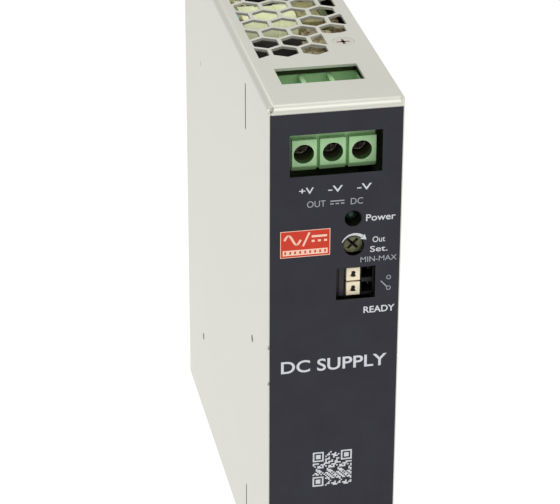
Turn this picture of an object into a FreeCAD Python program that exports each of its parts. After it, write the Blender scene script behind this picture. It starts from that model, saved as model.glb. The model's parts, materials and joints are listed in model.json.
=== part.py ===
import FreeCAD, Part
import os
import re

import Sketcher

# A slim power supply for a 35 mm top-hat rail. Millimetres.
# +X is to the right seen from the front, +Y points back at the rail, +Z is up.
# The origin is the centre of the seat that lies on the rail's face.

DIMENSIONS = {
    # folded sheet enclosure
    "width": 29.5, "height": 124, "depth": 110, "gauge": 0.6, "bend": 1.6, "seam": 0.15,
    "relief_radius": 1.05, "label_gauge": 0.2, "label_left": 14.35, "label_right": 14.45,
    "label_margin": 1.9, "label_reach": 0.35,
    "tab_gauge": 1.2, "tab_left": 5.2, "tab_front": 29, "tab_rear": 40,
    "slit_depth": 26.5, "slit_width": 0.6, "slit_low": 46, "slit_high": 57,
    "dimple_radius": 1.3, "dimple_sink": 0.3, "dimple_rear": 87, "dimple_height": 38,
    "dimple_front": 18.6, "dimple_low": 2.5, "nick_depth": 0.45, "nick_size": 0.9, "nick_high": 4.9,
    "nick_low": 4.1,
    # honeycomb vents
    "cell_pitch": 6.67, "cell_wall": 0.95, "cell_first": 30.9, "cell_offset": 1.72,
    "vent_left": 11.4, "vent_right": 12.2, "vent_front": 27, "vent_rear": 103, "vent_step": 39.9,
    # cover screws
    "cover_screw_side": 9, "cover_screw_depth": 34.5, "cover_head_radius": 2.5,
    "cover_shank_radius": 1.45, "cover_head_height": 1.1, "cover_screw_length": 3.3, "play": 0.06,
    # openings in the front wall and the top and bottom
    "window_half": 10.1, "window_low": 45.6, "window_high": 55.3,
    "mouth_left": 9.4, "mouth_right": 8.9, "mouth_front": 12.1, "mouth_rear": 21.1,
    "lamp_side": 3.92, "lamp_height": 34.85, "lamp_hole_radius": 1.9, "lens_radius": 1.5,
    "trim_side": 4.2, "trim_height": 28.2, "trim_hole_radius": 2.3, "rotor_radius": 2.1,
    "socket_left": 0.36, "socket_right": 9.1, "socket_low": 15.3, "socket_high": 23.1,
    # rail fixing
    "seat": 1.5, "rail_half": 17.5, "hook_gap": 1.4, "hook_play": 0.3, "hook_drop": 4,
    "hook_half": 5, "bracket_half": 11, "bracket_high": 24, "bracket_low": 24, "lance_play": 0.4,
    "blade_gauge": 1.4, "blade_half": 5, "blade_top": 13.4, "blade_end": 69.5, "slide_play": 0.05,
    "pull_half": 2.6, "pull_high": 62.8, "pull_low": 67.4,
    "pocket_half": 2.4, "pocket_high": 33.4, "pocket_low": 46.4, "stop_high": 44.8, "stop_low": 45.6,
    "spring_radius": 1.45, "spring_wire": 0.5, "spring_pitch": 1.55, "keeper_gauge": 0.8,
    "keeper_half": 10, "keeper_height": 3, "keeper_one": 28.5, "keeper_two": 51,
    "rivet_radius": 1.2, "rivet_head_radius": 2, "rivet_side": 8,
    # terminal blocks: heights are from the middle of the object
    "pole_pitch": 6.35, "block_half": 9.5, "block_front": 3.2, "block_rear": 23.7,
    "block_low": 45.3, "block_high": 59.4, "face_low": 46.5, "face_high": 52.6,
    "lip_sink": 1.2, "groove_width": 0.7, "groove_depth": 1.5,
    "end_groove": 0.55, "screw_height": 49.3,
    "driver_radius": 2.25, "screw_head_radius": 1.95, "head_front": 8, "head_rear": 9.6,
    "ledge_front": 10, "ledge_rear": 10.8, "neck_radius": 1.55, "screw_radius": 1.45,
    "screw_end": 15.2, "slot_width": 0.7, "slot_sink": 0.9, "cell_half": 2.65, "cell_rear": 23.2,
    "cell_low": 45.9, "cell_high": 53.2, "funnel_front": 16.5, "cage_half": 2.4, "cage_front": 13,
    "cage_nut": 15, "cage_floor": 21.3, "cage_rear": 22.1, "cage_low": 46.9, "cage_high": 52.6,
    "cage_hole_half": 1.9, "thread_radius": 1.5, "tongue_half": 1.6, "tongue_front": 15.4,
    "tongue_rear": 16.2, "tongue_high": 52.9, "foot_high": 46.5, "foot_end": 27.8,
    # push-in signal connector
    "plug_left": 0.6, "plug_right": 9.5, "plug_low": 15, "plug_high": 22.7, "plug_front": 1.9,
    "button_left": 3, "button_right": 6.1, "button_front": 1.5, "button_rear": 7.5,
    "button_low_one": 15.4, "button_low_two": 18.95, "button_size": 3.15, "button_play": 0.1,
    "button_travel": 1.2, "push_hole_left": 6.5, "push_hole_right": 9, "push_hole_size": 2.5,
    "push_hole_rear": 9, "contact_front": 5,
    # signal board, front board and main board
    "signal_board_front": 12, "signal_board_gauge": 1.2, "signal_board_left": 0.5,
    "signal_board_right": 12.6, "signal_board_low": 11, "signal_board_high": 39,
    "front_board_front": 25.2, "board_gauge": 1.6, "board_half": 58.5, "front_board_half": 60.8,
    "front_board_left": 13.4,
    "front_board_right": 9.2, "board_face": 9.6, "board_front": 27, "board_rear": 106.5,
    "header_left": 6.6, "header_deep": 2.6, "header_low": 30, "header_mid": 10, "header_high": 40,
    "link_left": 5.5, "link_right": 8.1, "link_low": 16, "link_high": 34,
    "post_radius": 2.5, "post_front": 29.5, "post_rear": 103, "post_height": 54.5,
    "post_screw_radius": 1.25, "post_head_radius": 2.6, "post_head_height": 1.9,
    "film_gauge": 0.3, "film_gap": 0.1, "film_margin": 1.5,
    # trimmer and lamp
    "trim_body_half": 3.1, "trim_body_front": 3.4, "rotor_front": 1.2, "rotor_rear": 5.4,
    "rotor_slot_far": 1.31, "rotor_slot_near": 0.88,
    "lens_front": 1.7, "lens_rear": 6.4, "spacer_radius": 2.3, "lead_radius": 0.25,
    # power parts: depth is from the front face, height from the middle
    "part_left": 13.2, "output_cap_radius": 5, "output_cap_left": 11, "output_cap_depth": 44.5,
    "output_cap_top": 54.5, "output_cap_step": 11,
    "core_front": 55.6, "core_rear": 74.2, "core_low": 31, "core_high": 51.5, "core_plate": 3,
    "core_right": 8, "wind_front": 58.2, "wind_rear": 71.6, "wind_low": 25.5, "wind_high": 59,
    "wind_left": 10, "wind_right": 4.6, "wind_round": 3, "flange": 0.8,
    "disc_radius": 4.2, "disc_gauge": 2.1, "disc_side": 11.35, "disc_depth": 62, "disc_height": 56,
    "bulk_radius": 10.8, "bulk_front": 62, "bulk_rear": 98, "bulk_side": 1.6, "bulk_height": 5,
    "sink_gauge": 1.5, "sink_length": 22, "sink_rear": 104, "sink_low": 22, "sink_right": 9.3,
    "fin_pitch": 5, "fin_gauge": 1.2, "fin_height": 8, "choke_depth": 92, "choke_height": 45,
    "choke_radius": 8.5, "choke_bore": 3.2, "low_sink_front": 86, "low_sink_rear": 103.5,
    "low_sink_height": 31, "low_sink_foot": 38, "fet_width": 10, "fet_height": 15, "fet_gauge": 4.4,
    "toroid_depth": 38, "toroid_height": 24, "toroid_radius": 10, "toroid_bore": 5.2,
    "toroid_thickness": 7, "toroid_side": 4, "xcap_front": 28.4, "xcap_rear": 34.4, "xcap_low": 51.5,
    "xcap_high": 35.2, "xcap_left": 5, "fuse_radius": 2.6, "fuse_depth": 37.5, "fuse_low": 56,
    "fuse_high": 37, "fuse_side": 6.4, "ntc_radius": 4.6, "ntc_gauge": 4, "ntc_depth": 44,
    "ntc_height": 44, "bridge_front": 51, "bridge_rear": 54.4, "bridge_low": 57, "bridge_high": 39,
    "bridge_left": 4, "pfc_front": 58, "pfc_rear": 82, "pfc_low": 54, "pfc_high": 32,
    "relay_front": 27.8, "relay_rear": 36.8, "relay_low": 8, "relay_high": 26, "relay_left": 2.5,
    "opto_half": 2.3, "opto_height": 3.4, "opto_depth": 55, "opto_gauge": 3.4, "opto_top": 16,
    "opto_step": 8,
    "card_depth": 44, "card_gauge": 1, "card_low": 10, "card_high": 18, "card_left": 8.5,
}

document = FreeCAD.newDocument("DinRailSupply")
sheet = document.addObject("Spreadsheet::Sheet", "Dims")
for row, (name, value) in enumerate(DIMENSIONS.items(), start=1):
    sheet.set(f"A{row}", name)
    sheet.set(f"B{row}", str(value))
    sheet.setAlias(f"B{row}", name)
document.recompute()

WORDS = re.compile(r"\b(" + "|".join(sorted(DIMENSIONS, key=len, reverse=True)) + r")\b")
TURN = {
    "x": FreeCAD.Rotation(FreeCAD.Vector(0, 1, 0), 90),
    "y": FreeCAD.Rotation(FreeCAD.Vector(1, 0, 0), -90),
    "z": FreeCAD.Rotation(),
}
HALF_WIDTH = "width / 2"
HALF_HEIGHT = "height / 2"
REAR = "-seat"
subparts = []


def linked(expression):
    """Turn each dimension's name into a reference to its cell."""
    return WORDS.sub(r"Dims.\1", str(expression))


def amount(expression):
    """The present value of an expression."""
    return float(sheet.evalExpression(linked(expression)))


def behind(distance):
    """The Y place at a distance behind the front face."""
    return f"({distance}) - depth - seat"


def span(low, high):
    """Two depths behind the front face as Y places."""
    return behind(low), behind(high)


def about(middle, half):
    """The two ends of a length centred on a place."""
    return f"({middle}) - ({half})", f"({middle}) + ({half})"


def subpart(label, solid):
    """Name a finished sub-part and keep it for export."""
    solid.Label = label
    subparts.append(solid)
    return solid


def block(x, y, z):
    """A box between two places along each axis, in either order."""
    box = document.addObject("Part::Box", "block")
    for axis, size, ends in (("x", "Length", x), ("y", "Width", y), ("z", "Height", z)):
        low, high = sorted(ends, key=amount)
        box.setExpression(f"Placement.Base.{axis}", linked(low))
        box.setExpression(size, linked(f"({high}) - ({low})"))
    return box


def place_round(solid, axis, ends, across):
    """Stand a round primitive on an axis between two places."""
    low, high = ends
    solid.Placement = FreeCAD.Placement(FreeCAD.Vector(), TURN[axis])
    places = dict(zip([letter for letter in "xyz" if letter != axis], across))
    places[axis] = low
    for letter, expression in places.items():
        solid.setExpression(f"Placement.Base.{letter}", linked(expression))
    solid.setExpression("Height", linked(f"({high}) - ({low})"))
    return solid


def rod(axis, ends, across, radius):
    """A cylinder along an axis; its ends are sorted, across is its centre."""
    solid = document.addObject("Part::Cylinder", "rod")
    solid.setExpression("Radius", linked(radius))
    return place_round(solid, axis, sorted(ends, key=amount), across)


def taper(axis, ends, across, first, second):
    """A cone that goes from the first end's radius to the second end's."""
    solid = document.addObject("Part::Cone", "taper")
    if amount(ends[0]) > amount(ends[1]):
        ends = ends[::-1]
        first, second = second, first
    solid.setExpression("Radius1", linked(first))
    solid.setExpression("Radius2", linked(second))
    return place_round(solid, axis, ends, across)


def ball(centre, radius):
    solid = document.addObject("Part::Sphere", "ball")
    solid.setExpression("Radius", linked(radius))
    for letter, expression in zip("xyz", centre):
        solid.setExpression(f"Placement.Base.{letter}", linked(expression))
    return solid


def fuse(*pieces):
    solid = document.addObject("Part::MultiFuse", "fuse")
    solid.Shapes = list(pieces)
    return solid


def group(*pieces):
    """Separate solids that share one node."""
    solid = document.addObject("Part::Compound", "group")
    solid.Links = list(pieces)
    return solid


def cut(base, *tools):
    solid = document.addObject("Part::Cut", "cut")
    solid.Base = base
    solid.Tool = tools[0] if len(tools) == 1 else group(*tools)
    return solid


def common(base, tool):
    solid = document.addObject("Part::Common", "common")
    solid.Base = base
    solid.Tool = tool
    return solid


def rounded(base, radius, wanted):
    """Round the edges of a solid that the test picks by their two end points."""
    document.recompute()
    solid = document.addObject("Part::Fillet", "rounded")
    solid.Base = base
    size = amount(radius)
    edges = enumerate(base.Shape.Edges, start=1)
    solid.Edges = [(index, size, size) for index, edge in edges if wanted(edge)]
    return solid


def runs_along(edge, axis):
    """True for a straight edge parallel to an axis."""
    one, two = edge.Vertexes[0].Point, edge.Vertexes[-1].Point
    step = (two - one).normalize()
    return abs(getattr(step, axis)) > 0.99


def profile(plane, points, ends):
    """A body padded from a closed outline; ends are its places across the plane."""
    body = document.addObject("PartDesign::Body", "profile")
    sketch = body.newObject("Sketcher::SketchObject", "Outline")
    origin = [feature for feature in body.Origin.OriginFeatures if feature.Role == plane][0]
    sketch.AttachmentSupport = [(origin, "")]
    sketch.MapMode = "FlatFace"
    low, high = sorted(ends, key=amount)
    flip = plane == "XZ_Plane"
    place = f"-({low})" if flip else low
    sketch.setExpression("AttachmentOffset.Base.z", linked(place))
    corners = [FreeCAD.Vector(amount(first), amount(second), 0) for first, second in points]
    count = len(corners)
    for index, corner in enumerate(corners):
        sketch.addGeometry(Part.LineSegment(corner, corners[(index + 1) % count]))
    for index in range(count):
        sketch.addConstraint(Sketcher.Constraint("Coincident", index, 2, (index + 1) % count, 1))
    for index, (corner, pair) in enumerate(zip(corners, points)):
        for kind, value, expression in zip(("DistanceX", "DistanceY"), corner, pair):
            number = sketch.addConstraint(Sketcher.Constraint(kind, -1, 1, index, 1, value))
            sketch.setExpression(f"Constraints[{number}]", linked(expression))
    pad = body.newObject("PartDesign::Pad", "Pad")
    pad.Profile = sketch
    pad.Reversed = flip
    pad.setExpression("Length", linked(f"({high}) - ({low})"))
    return body


# ---------------------------------------------------------------- enclosure

def fold_block(inset, reach):
    """The enclosure's outer or inner form, rounded where the sheet folds."""
    left = f"-{HALF_WIDTH} + {inset}"
    high = f"{HALF_HEIGHT} - {inset}"
    front = behind(inset)
    form = block((left, f"{HALF_WIDTH} - gauge + {reach}"), (front, f"{REAR} + {reach}"),
                 (f"-({high})", high))

    def folds(edge):
        middle = (edge.Vertexes[0].Point + edge.Vertexes[-1].Point) * 0.5
        if abs(abs(middle.z) - amount(high)) > 0.01:
            return False
        at_left = runs_along(edge, "y") and abs(middle.x - amount(left)) < 0.01
        return at_left or (runs_along(edge, "x") and abs(middle.y - amount(front)) < 0.01)

    return rounded(form, f"bend - {inset}", folds)


def honeycomb():
    """The vent cells: one tool that cuts the top and the bottom at once."""
    cells = []
    row_step = amount("cell_pitch") * 3 ** 0.5 / 2
    rows = int((amount("vent_rear") - amount("cell_first")) / row_step)
    for line in range(rows):
        offset = amount("cell_offset") + (amount("cell_pitch") / 2 if line % 2 else 0)
        for column in range(-3, 3):
            centre = offset + column * amount("cell_pitch")
            if not -amount("vent_left") - 2 < centre < amount("vent_right") + 2:
                continue
            cell = document.addObject("Part::Prism", "cell")
            cell.Polygon = 6
            cell.setExpression("Circumradius", linked("(cell_pitch - cell_wall) / sqrt(3)"))
            cell.setExpression("Height", linked("height * 2"))
            turn = FreeCAD.Rotation(FreeCAD.Vector(0, 0, 1), 30)
            cell.Placement = FreeCAD.Placement(FreeCAD.Vector(), turn)
            step = f"cell_pitch * {column} + cell_offset + cell_pitch / 2 * {line % 2}"
            cell.setExpression("Placement.Base.x", linked(step))
            row_place = behind(f"cell_first + {line} * cell_pitch * sqrt(3) / 2")
            cell.setExpression("Placement.Base.y", linked(row_place))
            cell.setExpression("Placement.Base.z", linked("-height"))
            cells.append(cell)
    tall = ("-height", "height")
    field = fuse(block(("-vent_left", "tab_left"), span("vent_front", "vent_rear"), tall),
                 block(("-vent_left", "vent_right"), span("vent_step", "vent_rear"), tall))
    return common(group(*cells), field)


def front_openings(slack):
    """Tools for the openings that the front wall and the label share."""
    deep = span("-2", "2")
    tools = [
        rod("y", deep, ("lamp_side", "lamp_height"), f"lamp_hole_radius + {slack}"),
        rod("y", deep, ("trim_side", "trim_height"), f"trim_hole_radius + {slack}"),
        block((f"socket_left - {slack}", f"socket_right + {slack}"), deep,
              (f"socket_low - {slack}", f"socket_high + {slack}")),
    ]
    for side in ("1", "-1"):
        tools.append(block(about("0", f"window_half + {slack}"), deep,
                           (f"{side} * (window_low - {slack})", f"{side} * (window_high + {slack})")))
    return tools


def cover_screw_form(side, slack):
    """A countersunk screw, or with slack the hole that takes it."""
    across = ("cover_screw_side", behind("cover_screw_depth"))
    top = f"{side} * ({HALF_HEIGHT} - 0.05)"
    neck = f"{side} * ({HALF_HEIGHT} - 0.05 - cover_head_height)"
    end = f"{side} * ({HALF_HEIGHT} - cover_screw_length)"
    head = taper("z", (top, neck), across, f"cover_head_radius + {slack}", f"cover_shank_radius + {slack}")
    shank = rod("z", (neck, end), across, f"cover_shank_radius + {slack}")
    return head, shank


def make_housing_shell():
    shell = cut(fold_block("0", "0"), fold_block("gauge", "5"))
    tools = front_openings("label_reach")
    for side in ("1", "-1"):
        tools.append(block(("-mouth_left", "mouth_right"), span("mouth_front", "mouth_rear"),
                           (f"{side} * ({HALF_HEIGHT} + 2)", f"{side} * ({HALF_HEIGHT} - 2)")))
        tools.append(block((f"-{HALF_WIDTH} - 1", f"-{HALF_WIDTH} + 1"),
                           about(behind("slit_depth"), "slit_width / 2"),
                           (f"{side} * slit_low", f"{side} * slit_high")))
        tools.append(ball((f"-{HALF_WIDTH} + gauge / 2", behind("gauge"),
                           f"{side} * ({HALF_HEIGHT} - gauge)"), "relief_radius"))
        tools.extend(cover_screw_form(side, "play"))
        top = f"{side} * ({HALF_HEIGHT} + 1)"
        tools.append(rod("z", (top, f"{side} * ({HALF_HEIGHT} - 0.05)"),
                         ("cover_screw_side", behind("cover_screw_depth")), "cover_head_radius + play"))
    for depth_place, height_place in (("dimple_rear", "-dimple_height"), ("dimple_rear", "dimple_height"),
                                      ("dimple_front", "-dimple_low")):
        tools.append(ball((f"-{HALF_WIDTH} - dimple_radius + dimple_sink", behind(depth_place),
                           height_place), "dimple_radius"))
    for height_place in ("nick_high", "-nick_low"):
        tools.append(block((f"-{HALF_WIDTH} - 1", f"-{HALF_WIDTH} + gauge"), span("-1", "nick_depth"),
                           about(height_place, "nick_size / 2")))
    tools.append(block(about(f"-{HALF_WIDTH} + gauge", "seam / 2"), span("-1", "gauge + 0.2"),
                       about("0", f"{HALF_HEIGHT} - bend")))
    tools.append(honeycomb())
    subpart("housing_shell", cut(shell, *tools))


def make_side_cover():
    inner = f"({HALF_WIDTH} - gauge)"
    wall = block((inner, HALF_WIDTH), (behind("0"), REAR), about("0", HALF_HEIGHT))
    rear = block((f"-{inner} + seam", HALF_WIDTH), (f"{REAR} - gauge", REAR),
                 about("0", f"{HALF_HEIGHT} - gauge - seam / 2"))
    rear = rounded(rear, "bend - gauge", lambda edge: runs_along(edge, "y")
                   and edge.Vertexes[0].Point.x < 0)
    tabs = []
    for side in ("1", "-1"):
        outside = f"{side} * ({HALF_HEIGHT} - gauge)"
        inside = f"{side} * ({HALF_HEIGHT} - gauge - tab_gauge)"
        tabs.append(block(("tab_left", HALF_WIDTH), span("tab_front", "tab_rear"), (outside, inside)))
    stop = block(about("0", "pocket_half - 0.5"), (f"{REAR} - gauge / 2", "1.2"),
                 ("-stop_low", "-stop_high"))
    tools = [*cover_screw_form("1", "play"), *cover_screw_form("-1", "play")]
    for across in rivet_places():
        tools.append(rod("y", (f"{REAR} - 2", "1"), across, "rivet_radius"))
    nick = block((inner, f"{HALF_WIDTH} + 1"), span("-1", "nick_depth"), about("0", "nick_size / 2"))
    subpart("side_cover", cut(fuse(wall, rear, *tabs, stop), *tools, nick))


def make_front_label():
    plate = block(("-label_left", "label_right"), span("-label_gauge", "0"),
                  about("0", f"{HALF_HEIGHT} - label_margin"))
    subpart("front_label", cut(plate, *front_openings("0")))


def make_cover_screws():
    screws = []
    for side in ("1", "-1"):
        head, shank = cover_screw_form(side, "0")
        top = (f"{side} * {HALF_HEIGHT}", f"{side} * ({HALF_HEIGHT} - cover_head_height * 0.8)")
        slots = []
        for long_half, short_half in (("1.5", "0.3"), ("0.3", "1.5")):
            slots.append(block(about("cover_screw_side", long_half),
                               about(behind("cover_screw_depth"), short_half), top))
        screws.append(cut(fuse(head, shank), *slots))
    subpart("cover_screws", group(*screws))


# ---------------------------------------------------------------- rail fixing

def rivet_places():
    """X and Z of the rivets: four in the bracket, two in each keeper."""
    places = []
    for side in ("-rivet_side", "rivet_side"):
        for height_place in ("bracket_high - 3.5", "-bracket_low + 3.5", "-keeper_one", "-keeper_two"):
            places.append((side, height_place))
    return places


def make_rail_bracket():
    plate = block(about("0", "bracket_half"), (REAR, "0"), ("-bracket_low", "bracket_high"))
    hook_low = "rail_half + hook_play - hook_drop"
    hook_high = "rail_half + hook_play + seat"
    lance = block(about("0", "hook_half + lance_play"), (f"{REAR} - 1", "1"),
                  ("blade_top - 0.9", "rail_half + hook_play"))
    channel = block(about("0", "blade_half + lance_play"), (f"{REAR} - 1", "1"),
                    ("-bracket_low - 1", "-blade_top + 0.8"))
    outline = [("-seat", "rail_half + hook_play"), ("hook_gap", "rail_half + hook_play"),
               ("hook_gap", hook_low), ("hook_gap + seat", hook_low),
               ("hook_gap + seat", hook_high), ("-seat", hook_high)]
    hook = profile("YZ_Plane", outline, about("0", "hook_half"))
    tools = [lance, channel]
    for across in rivet_places():
        tools.append(rod("y", (f"{REAR} - 2", "1"), across, "rivet_radius"))
    subpart("rail_bracket", fuse(cut(plate, *tools), hook))


def make_rail_latch():
    low = f"{REAR} + slide_play"
    high = f"{low} + blade_gauge"
    hook_low = "-(rail_half + hook_play + seat)"
    outline = [(low, "-blade_end"), (high, "-blade_end"), (high, hook_low),
               ("hook_gap + seat", hook_low), ("hook_gap + seat", "-(rail_half + hook_play - hook_drop)"),
               ("hook_gap", "-(rail_half + hook_play - hook_drop)"),
               ("hook_gap", "-(rail_half + hook_play)"),
               (high, "-(rail_half + hook_play)"), (high, "-blade_top"), (low, "-blade_top")]
    blade = profile("YZ_Plane", outline, about("0", "blade_half"))
    through = (f"{REAR} - 1", "4")
    pull = block(about("0", "pull_half"), through, ("-pull_low", "-pull_high"))
    pocket = block(about("0", "pocket_half"), through, ("-pocket_low", "-pocket_high"))
    corners = rounded(blade, "1.5", lambda edge: runs_along(edge, "y")
                      and edge.Vertexes[0].Point.z < -amount("blade_end") + 0.01)
    subpart("rail_latch", cut(corners, pull, pocket))


def make_latch_keepers():
    keepers = []
    for middle in ("-keeper_one", "-keeper_two"):
        inner = "blade_half + lance_play"
        low = f"{REAR} + 0"
        top = "slide_play + keeper_gauge"
        outline = [("-keeper_half", low), ("keeper_half", low), ("keeper_half", f"{low} + keeper_gauge"),
                   (f"{inner} + keeper_gauge", f"{low} + keeper_gauge"), (f"{inner} + keeper_gauge", top),
                   (f"-({inner}) - keeper_gauge", top),
                   (f"-({inner}) - keeper_gauge", f"{low} + keeper_gauge"),
                   ("-keeper_half", f"{low} + keeper_gauge")]
        strap = profile("XY_Plane", outline, about(middle, "keeper_height / 2"))
        bridge = block(about("0", inner), (f"{REAR} - 1", "slide_play"), about(middle, "keeper_height"))
        holes = []
        for side in ("-rivet_side", "rivet_side"):
            holes.append(rod("y", (f"{REAR} - 2", "2"), (side, middle), "rivet_radius"))
        keepers.append(cut(strap, bridge, *holes))
    subpart("latch_keepers", group(*keepers))


def make_rivets():
    rivets = []
    for side, height_place in rivet_places():
        inside = f"{REAR} - gauge"
        outside = f"{REAR} + keeper_gauge" if "keeper" in height_place else "0"
        shank = rod("y", (inside, outside), (side, height_place), "rivet_radius")
        inner = rod("y", (f"{inside} - 0.5", inside), (side, height_place), "rivet_head_radius")
        if "keeper" in height_place:
            outer = rod("y", (outside, f"{outside} + 0.5"), (side, height_place), "rivet_head_radius * 0.8")
            rivets.append(fuse(shank, inner, outer))
        else:
            rivets.append(fuse(shank, inner))
    subpart("rivets", group(*rivets))


def make_latch_spring():
    """A compression spring between the cover's stop and the latch's pocket."""
    path = document.addObject("Part::Helix", "path")
    path.setExpression("Pitch", linked("spring_pitch"))
    path.setExpression("Height", linked("stop_high - pocket_high - spring_wire - 0.2"))
    path.setExpression("Radius", linked("spring_radius"))
    path.setExpression("Placement.Base.y", linked("0.35"))
    path.setExpression("Placement.Base.z", linked("-stop_high + spring_wire / 2 + 0.1"))
    wire = document.addObject("Part::Circle", "wire")
    wire.setExpression("Radius", linked("spring_wire / 2"))
    wire.Placement = FreeCAD.Placement(FreeCAD.Vector(), TURN["y"])
    wire.setExpression("Placement.Base.x", linked("spring_radius"))
    wire.setExpression("Placement.Base.y", linked("0.35"))
    wire.setExpression("Placement.Base.z", linked("-stop_high + spring_wire / 2 + 0.1"))
    document.recompute()
    coil = document.addObject("Part::Sweep", "coil")
    coil.Sections = [wire]
    coil.Spine = (path, ["Edge1"])
    coil.Solid = True
    coil.Frenet = True
    subpart("latch_spring", coil)


# ---------------------------------------------------------------- screw terminals

def make_terminals(name, side):
    """One three-pole block with its screws, wire clamps and contact bars."""
    def up(height_place):
        return f"{side} * ({height_place})"

    poles = [f"{number} * pole_pitch" for number in (-1, 0, 1)]
    body = profile("YZ_Plane", [
        (behind("block_front + 0.8"), up("block_low")), (behind("block_rear"), up("block_low")),
        (behind("block_rear"), up("block_high")),
        (behind("block_front + lip_sink + 1.3"), up("block_high")),
        (behind("block_front + lip_sink"), up("block_high - 1.5")),
        (behind("block_front + lip_sink"), up("face_high")),
        (behind("block_front"), up("face_high")), (behind("block_front"), up("face_low")),
    ], about("0", "block_half"))
    tools = []
    contacts = []
    for number, middle in enumerate(poles, start=1):
        axis = (middle, up("screw_height"))
        tools.append(rod("y", span("block_front - 1", "ledge_front"), axis, "driver_radius"))
        tools.append(rod("y", span("ledge_front - 1", "ledge_rear + 1"), axis, "neck_radius"))
        tools.append(block(about(middle, "cell_half"), span("ledge_rear", "cell_rear"),
                           (up("cell_low"), up("cell_high"))))
        tools.append(block(about(middle, "cell_half"), span("funnel_front", "cell_rear"),
                           (up("cell_high - 1"), up("block_high + 1"))))
        tools.append(block(about(middle, "tongue_half"), span("cell_rear - 1", "block_rear + 1"),
                           (up("cell_low"), up("foot_high"))))

        head = rod("y", span("head_front", "head_rear"), axis, "screw_head_radius")
        shank = rod("y", span("head_rear", "screw_end"), axis, "screw_radius")
        sink = span("head_front - 1", "head_front + slot_sink")
        slot = block(about(middle, "screw_head_radius + 1"), sink, about(axis[1], "slot_width / 2"))
        cross = block(about(middle, "slot_width / 2"), sink, about(axis[1], "screw_head_radius * 0.7"))
        subpart(f"{name}_screw_{number}", cut(fuse(head, shank), slot, cross))

        frame = block(about(middle, "cage_half"), span("cage_front", "cage_rear"),
                      (up("cage_low"), up("cage_high")))
        hollow = block(about(middle, "cage_hole_half"), span("cage_nut", "cage_floor"),
                       (up("cage_low - 1"), up("cage_high + 1")))
        thread = rod("y", span("cage_front - 1", "cage_nut + 1"), axis, "thread_radius")
        subpart(f"{name}_clamp_{number}", cut(frame, hollow, thread))

        tongue = block(about(middle, "tongue_half"), span("tongue_front", "tongue_rear"),
                       (up("cell_low"), up("tongue_high")))
        foot = block(about(middle, "tongue_half"), span("tongue_front", "foot_end"),
                     (up("cell_low"), up("foot_high")))
        contacts.append(fuse(tongue, foot))
    for groove in (("-block_half - 1", "end_groove - block_half"),
                   about("-pole_pitch / 2", "groove_width / 2"), about("pole_pitch / 2", "groove_width / 2")):
        tools.append(block(groove, span("block_front - 1", "block_front + groove_depth"),
                           (up("face_low - 1.5"), up("face_high + 0.1"))))
    subpart(f"{name}_terminal_block", cut(body, *tools))
    subpart(f"{name}_contacts", group(*contacts))


# ---------------------------------------------------------------- signals on the front

def make_trimmer():
    across = ("trim_side", "trim_height")
    shell = block(about("trim_side", "trim_body_half"), span("trim_body_front", "signal_board_front"),
                  about("trim_height", "trim_body_half"))
    bore = rod("y", span("trim_body_front - 1", "rotor_rear + 0.2"), across, "rotor_radius + play")
    subpart("trimmer_body", cut(shell, bore))
    rotor = rod("y", span("rotor_front", "rotor_rear"), across, "rotor_radius")
    sink = span("rotor_front - 1", "rotor_front + 0.8")
    far, near = "rotor_slot_far", "rotor_slot_near"
    corners = [(near, far), (f"-{far}", f"-{near}"), (f"-{near}", f"-{far}"), (far, near)]
    slots = [profile("XZ_Plane", [(f"trim_side + {lean} * ({x})", f"trim_height + ({z})")
                                  for x, z in corners], sink) for lean in (1, -1)]
    subpart("trimmer_rotor", cut(rotor, *slots))


def make_lamp():
    across = ("lamp_side", "lamp_height")
    dome = ball(("lamp_side", behind("lens_front + lens_radius"), "lamp_height"), "lens_radius")
    body = rod("y", span("lens_front + lens_radius", "lens_rear"), across, "lens_radius")
    rim = rod("y", span("lens_rear - 1", "lens_rear"), across, "lens_radius + 0.35")
    subpart("status_lamp", fuse(dome, body, rim))
    sleeve = rod("y", span("lens_rear", "signal_board_front"), across, "spacer_radius")
    holes = [rod("y", span("lens_rear - 1", "signal_board_front + 1"), (place, "lamp_height"), "0.6")
             for place in ("lamp_side - 1.27", "lamp_side + 1.27")]
    subpart("lamp_spacer", cut(sleeve, *holes))


def make_signal_connector():
    shell = block(("plug_left", "plug_right"), span("plug_front", "signal_board_front"),
                  ("plug_low", "plug_high"))
    tools = []
    springs = []
    for number, low in enumerate(("button_low_one", "button_low_two"), start=1):
        high = f"{low} + button_size"
        tools.append(block(("button_left - button_play", "button_right + button_play"),
                           span("plug_front - 1", "button_rear + button_travel + 0.3"),
                           (f"{low} - button_play", f"{high} + button_play")))
        middle = f"{low} + button_size / 2"
        hole = about(middle, "push_hole_size / 2")
        tools.append(block(("push_hole_left", "push_hole_right"),
                           span("plug_front - 1", "push_hole_rear"), hole))
        key = block(("button_left", "button_right"), span("button_front", "button_rear"), (low, high))
        notch = block(about("(button_left + button_right) / 2", "0.35"),
                      span("button_front - 1", "button_front + 1"),
                      about(middle, "0.7"))
        subpart(f"release_button_{number}", cut(key, notch))
        for ends in (("push_hole_left + 0.2", "push_hole_left + 0.5"),
                     ("push_hole_right - 0.5", "push_hole_right - 0.2")):
            springs.append(block(ends, span("contact_front", "push_hole_rear"), about(middle, "0.9")))
    step = block(("plug_left + 0.8", "plug_left + 1.9"), span("plug_front - 1", "plug_front + 0.8"),
                 ("plug_low + 0.6", "plug_high - 0.6"))
    subpart("signal_connector", cut(shell, *tools, step))
    subpart("signal_contacts", group(*springs))


# ---------------------------------------------------------------- boards

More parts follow.
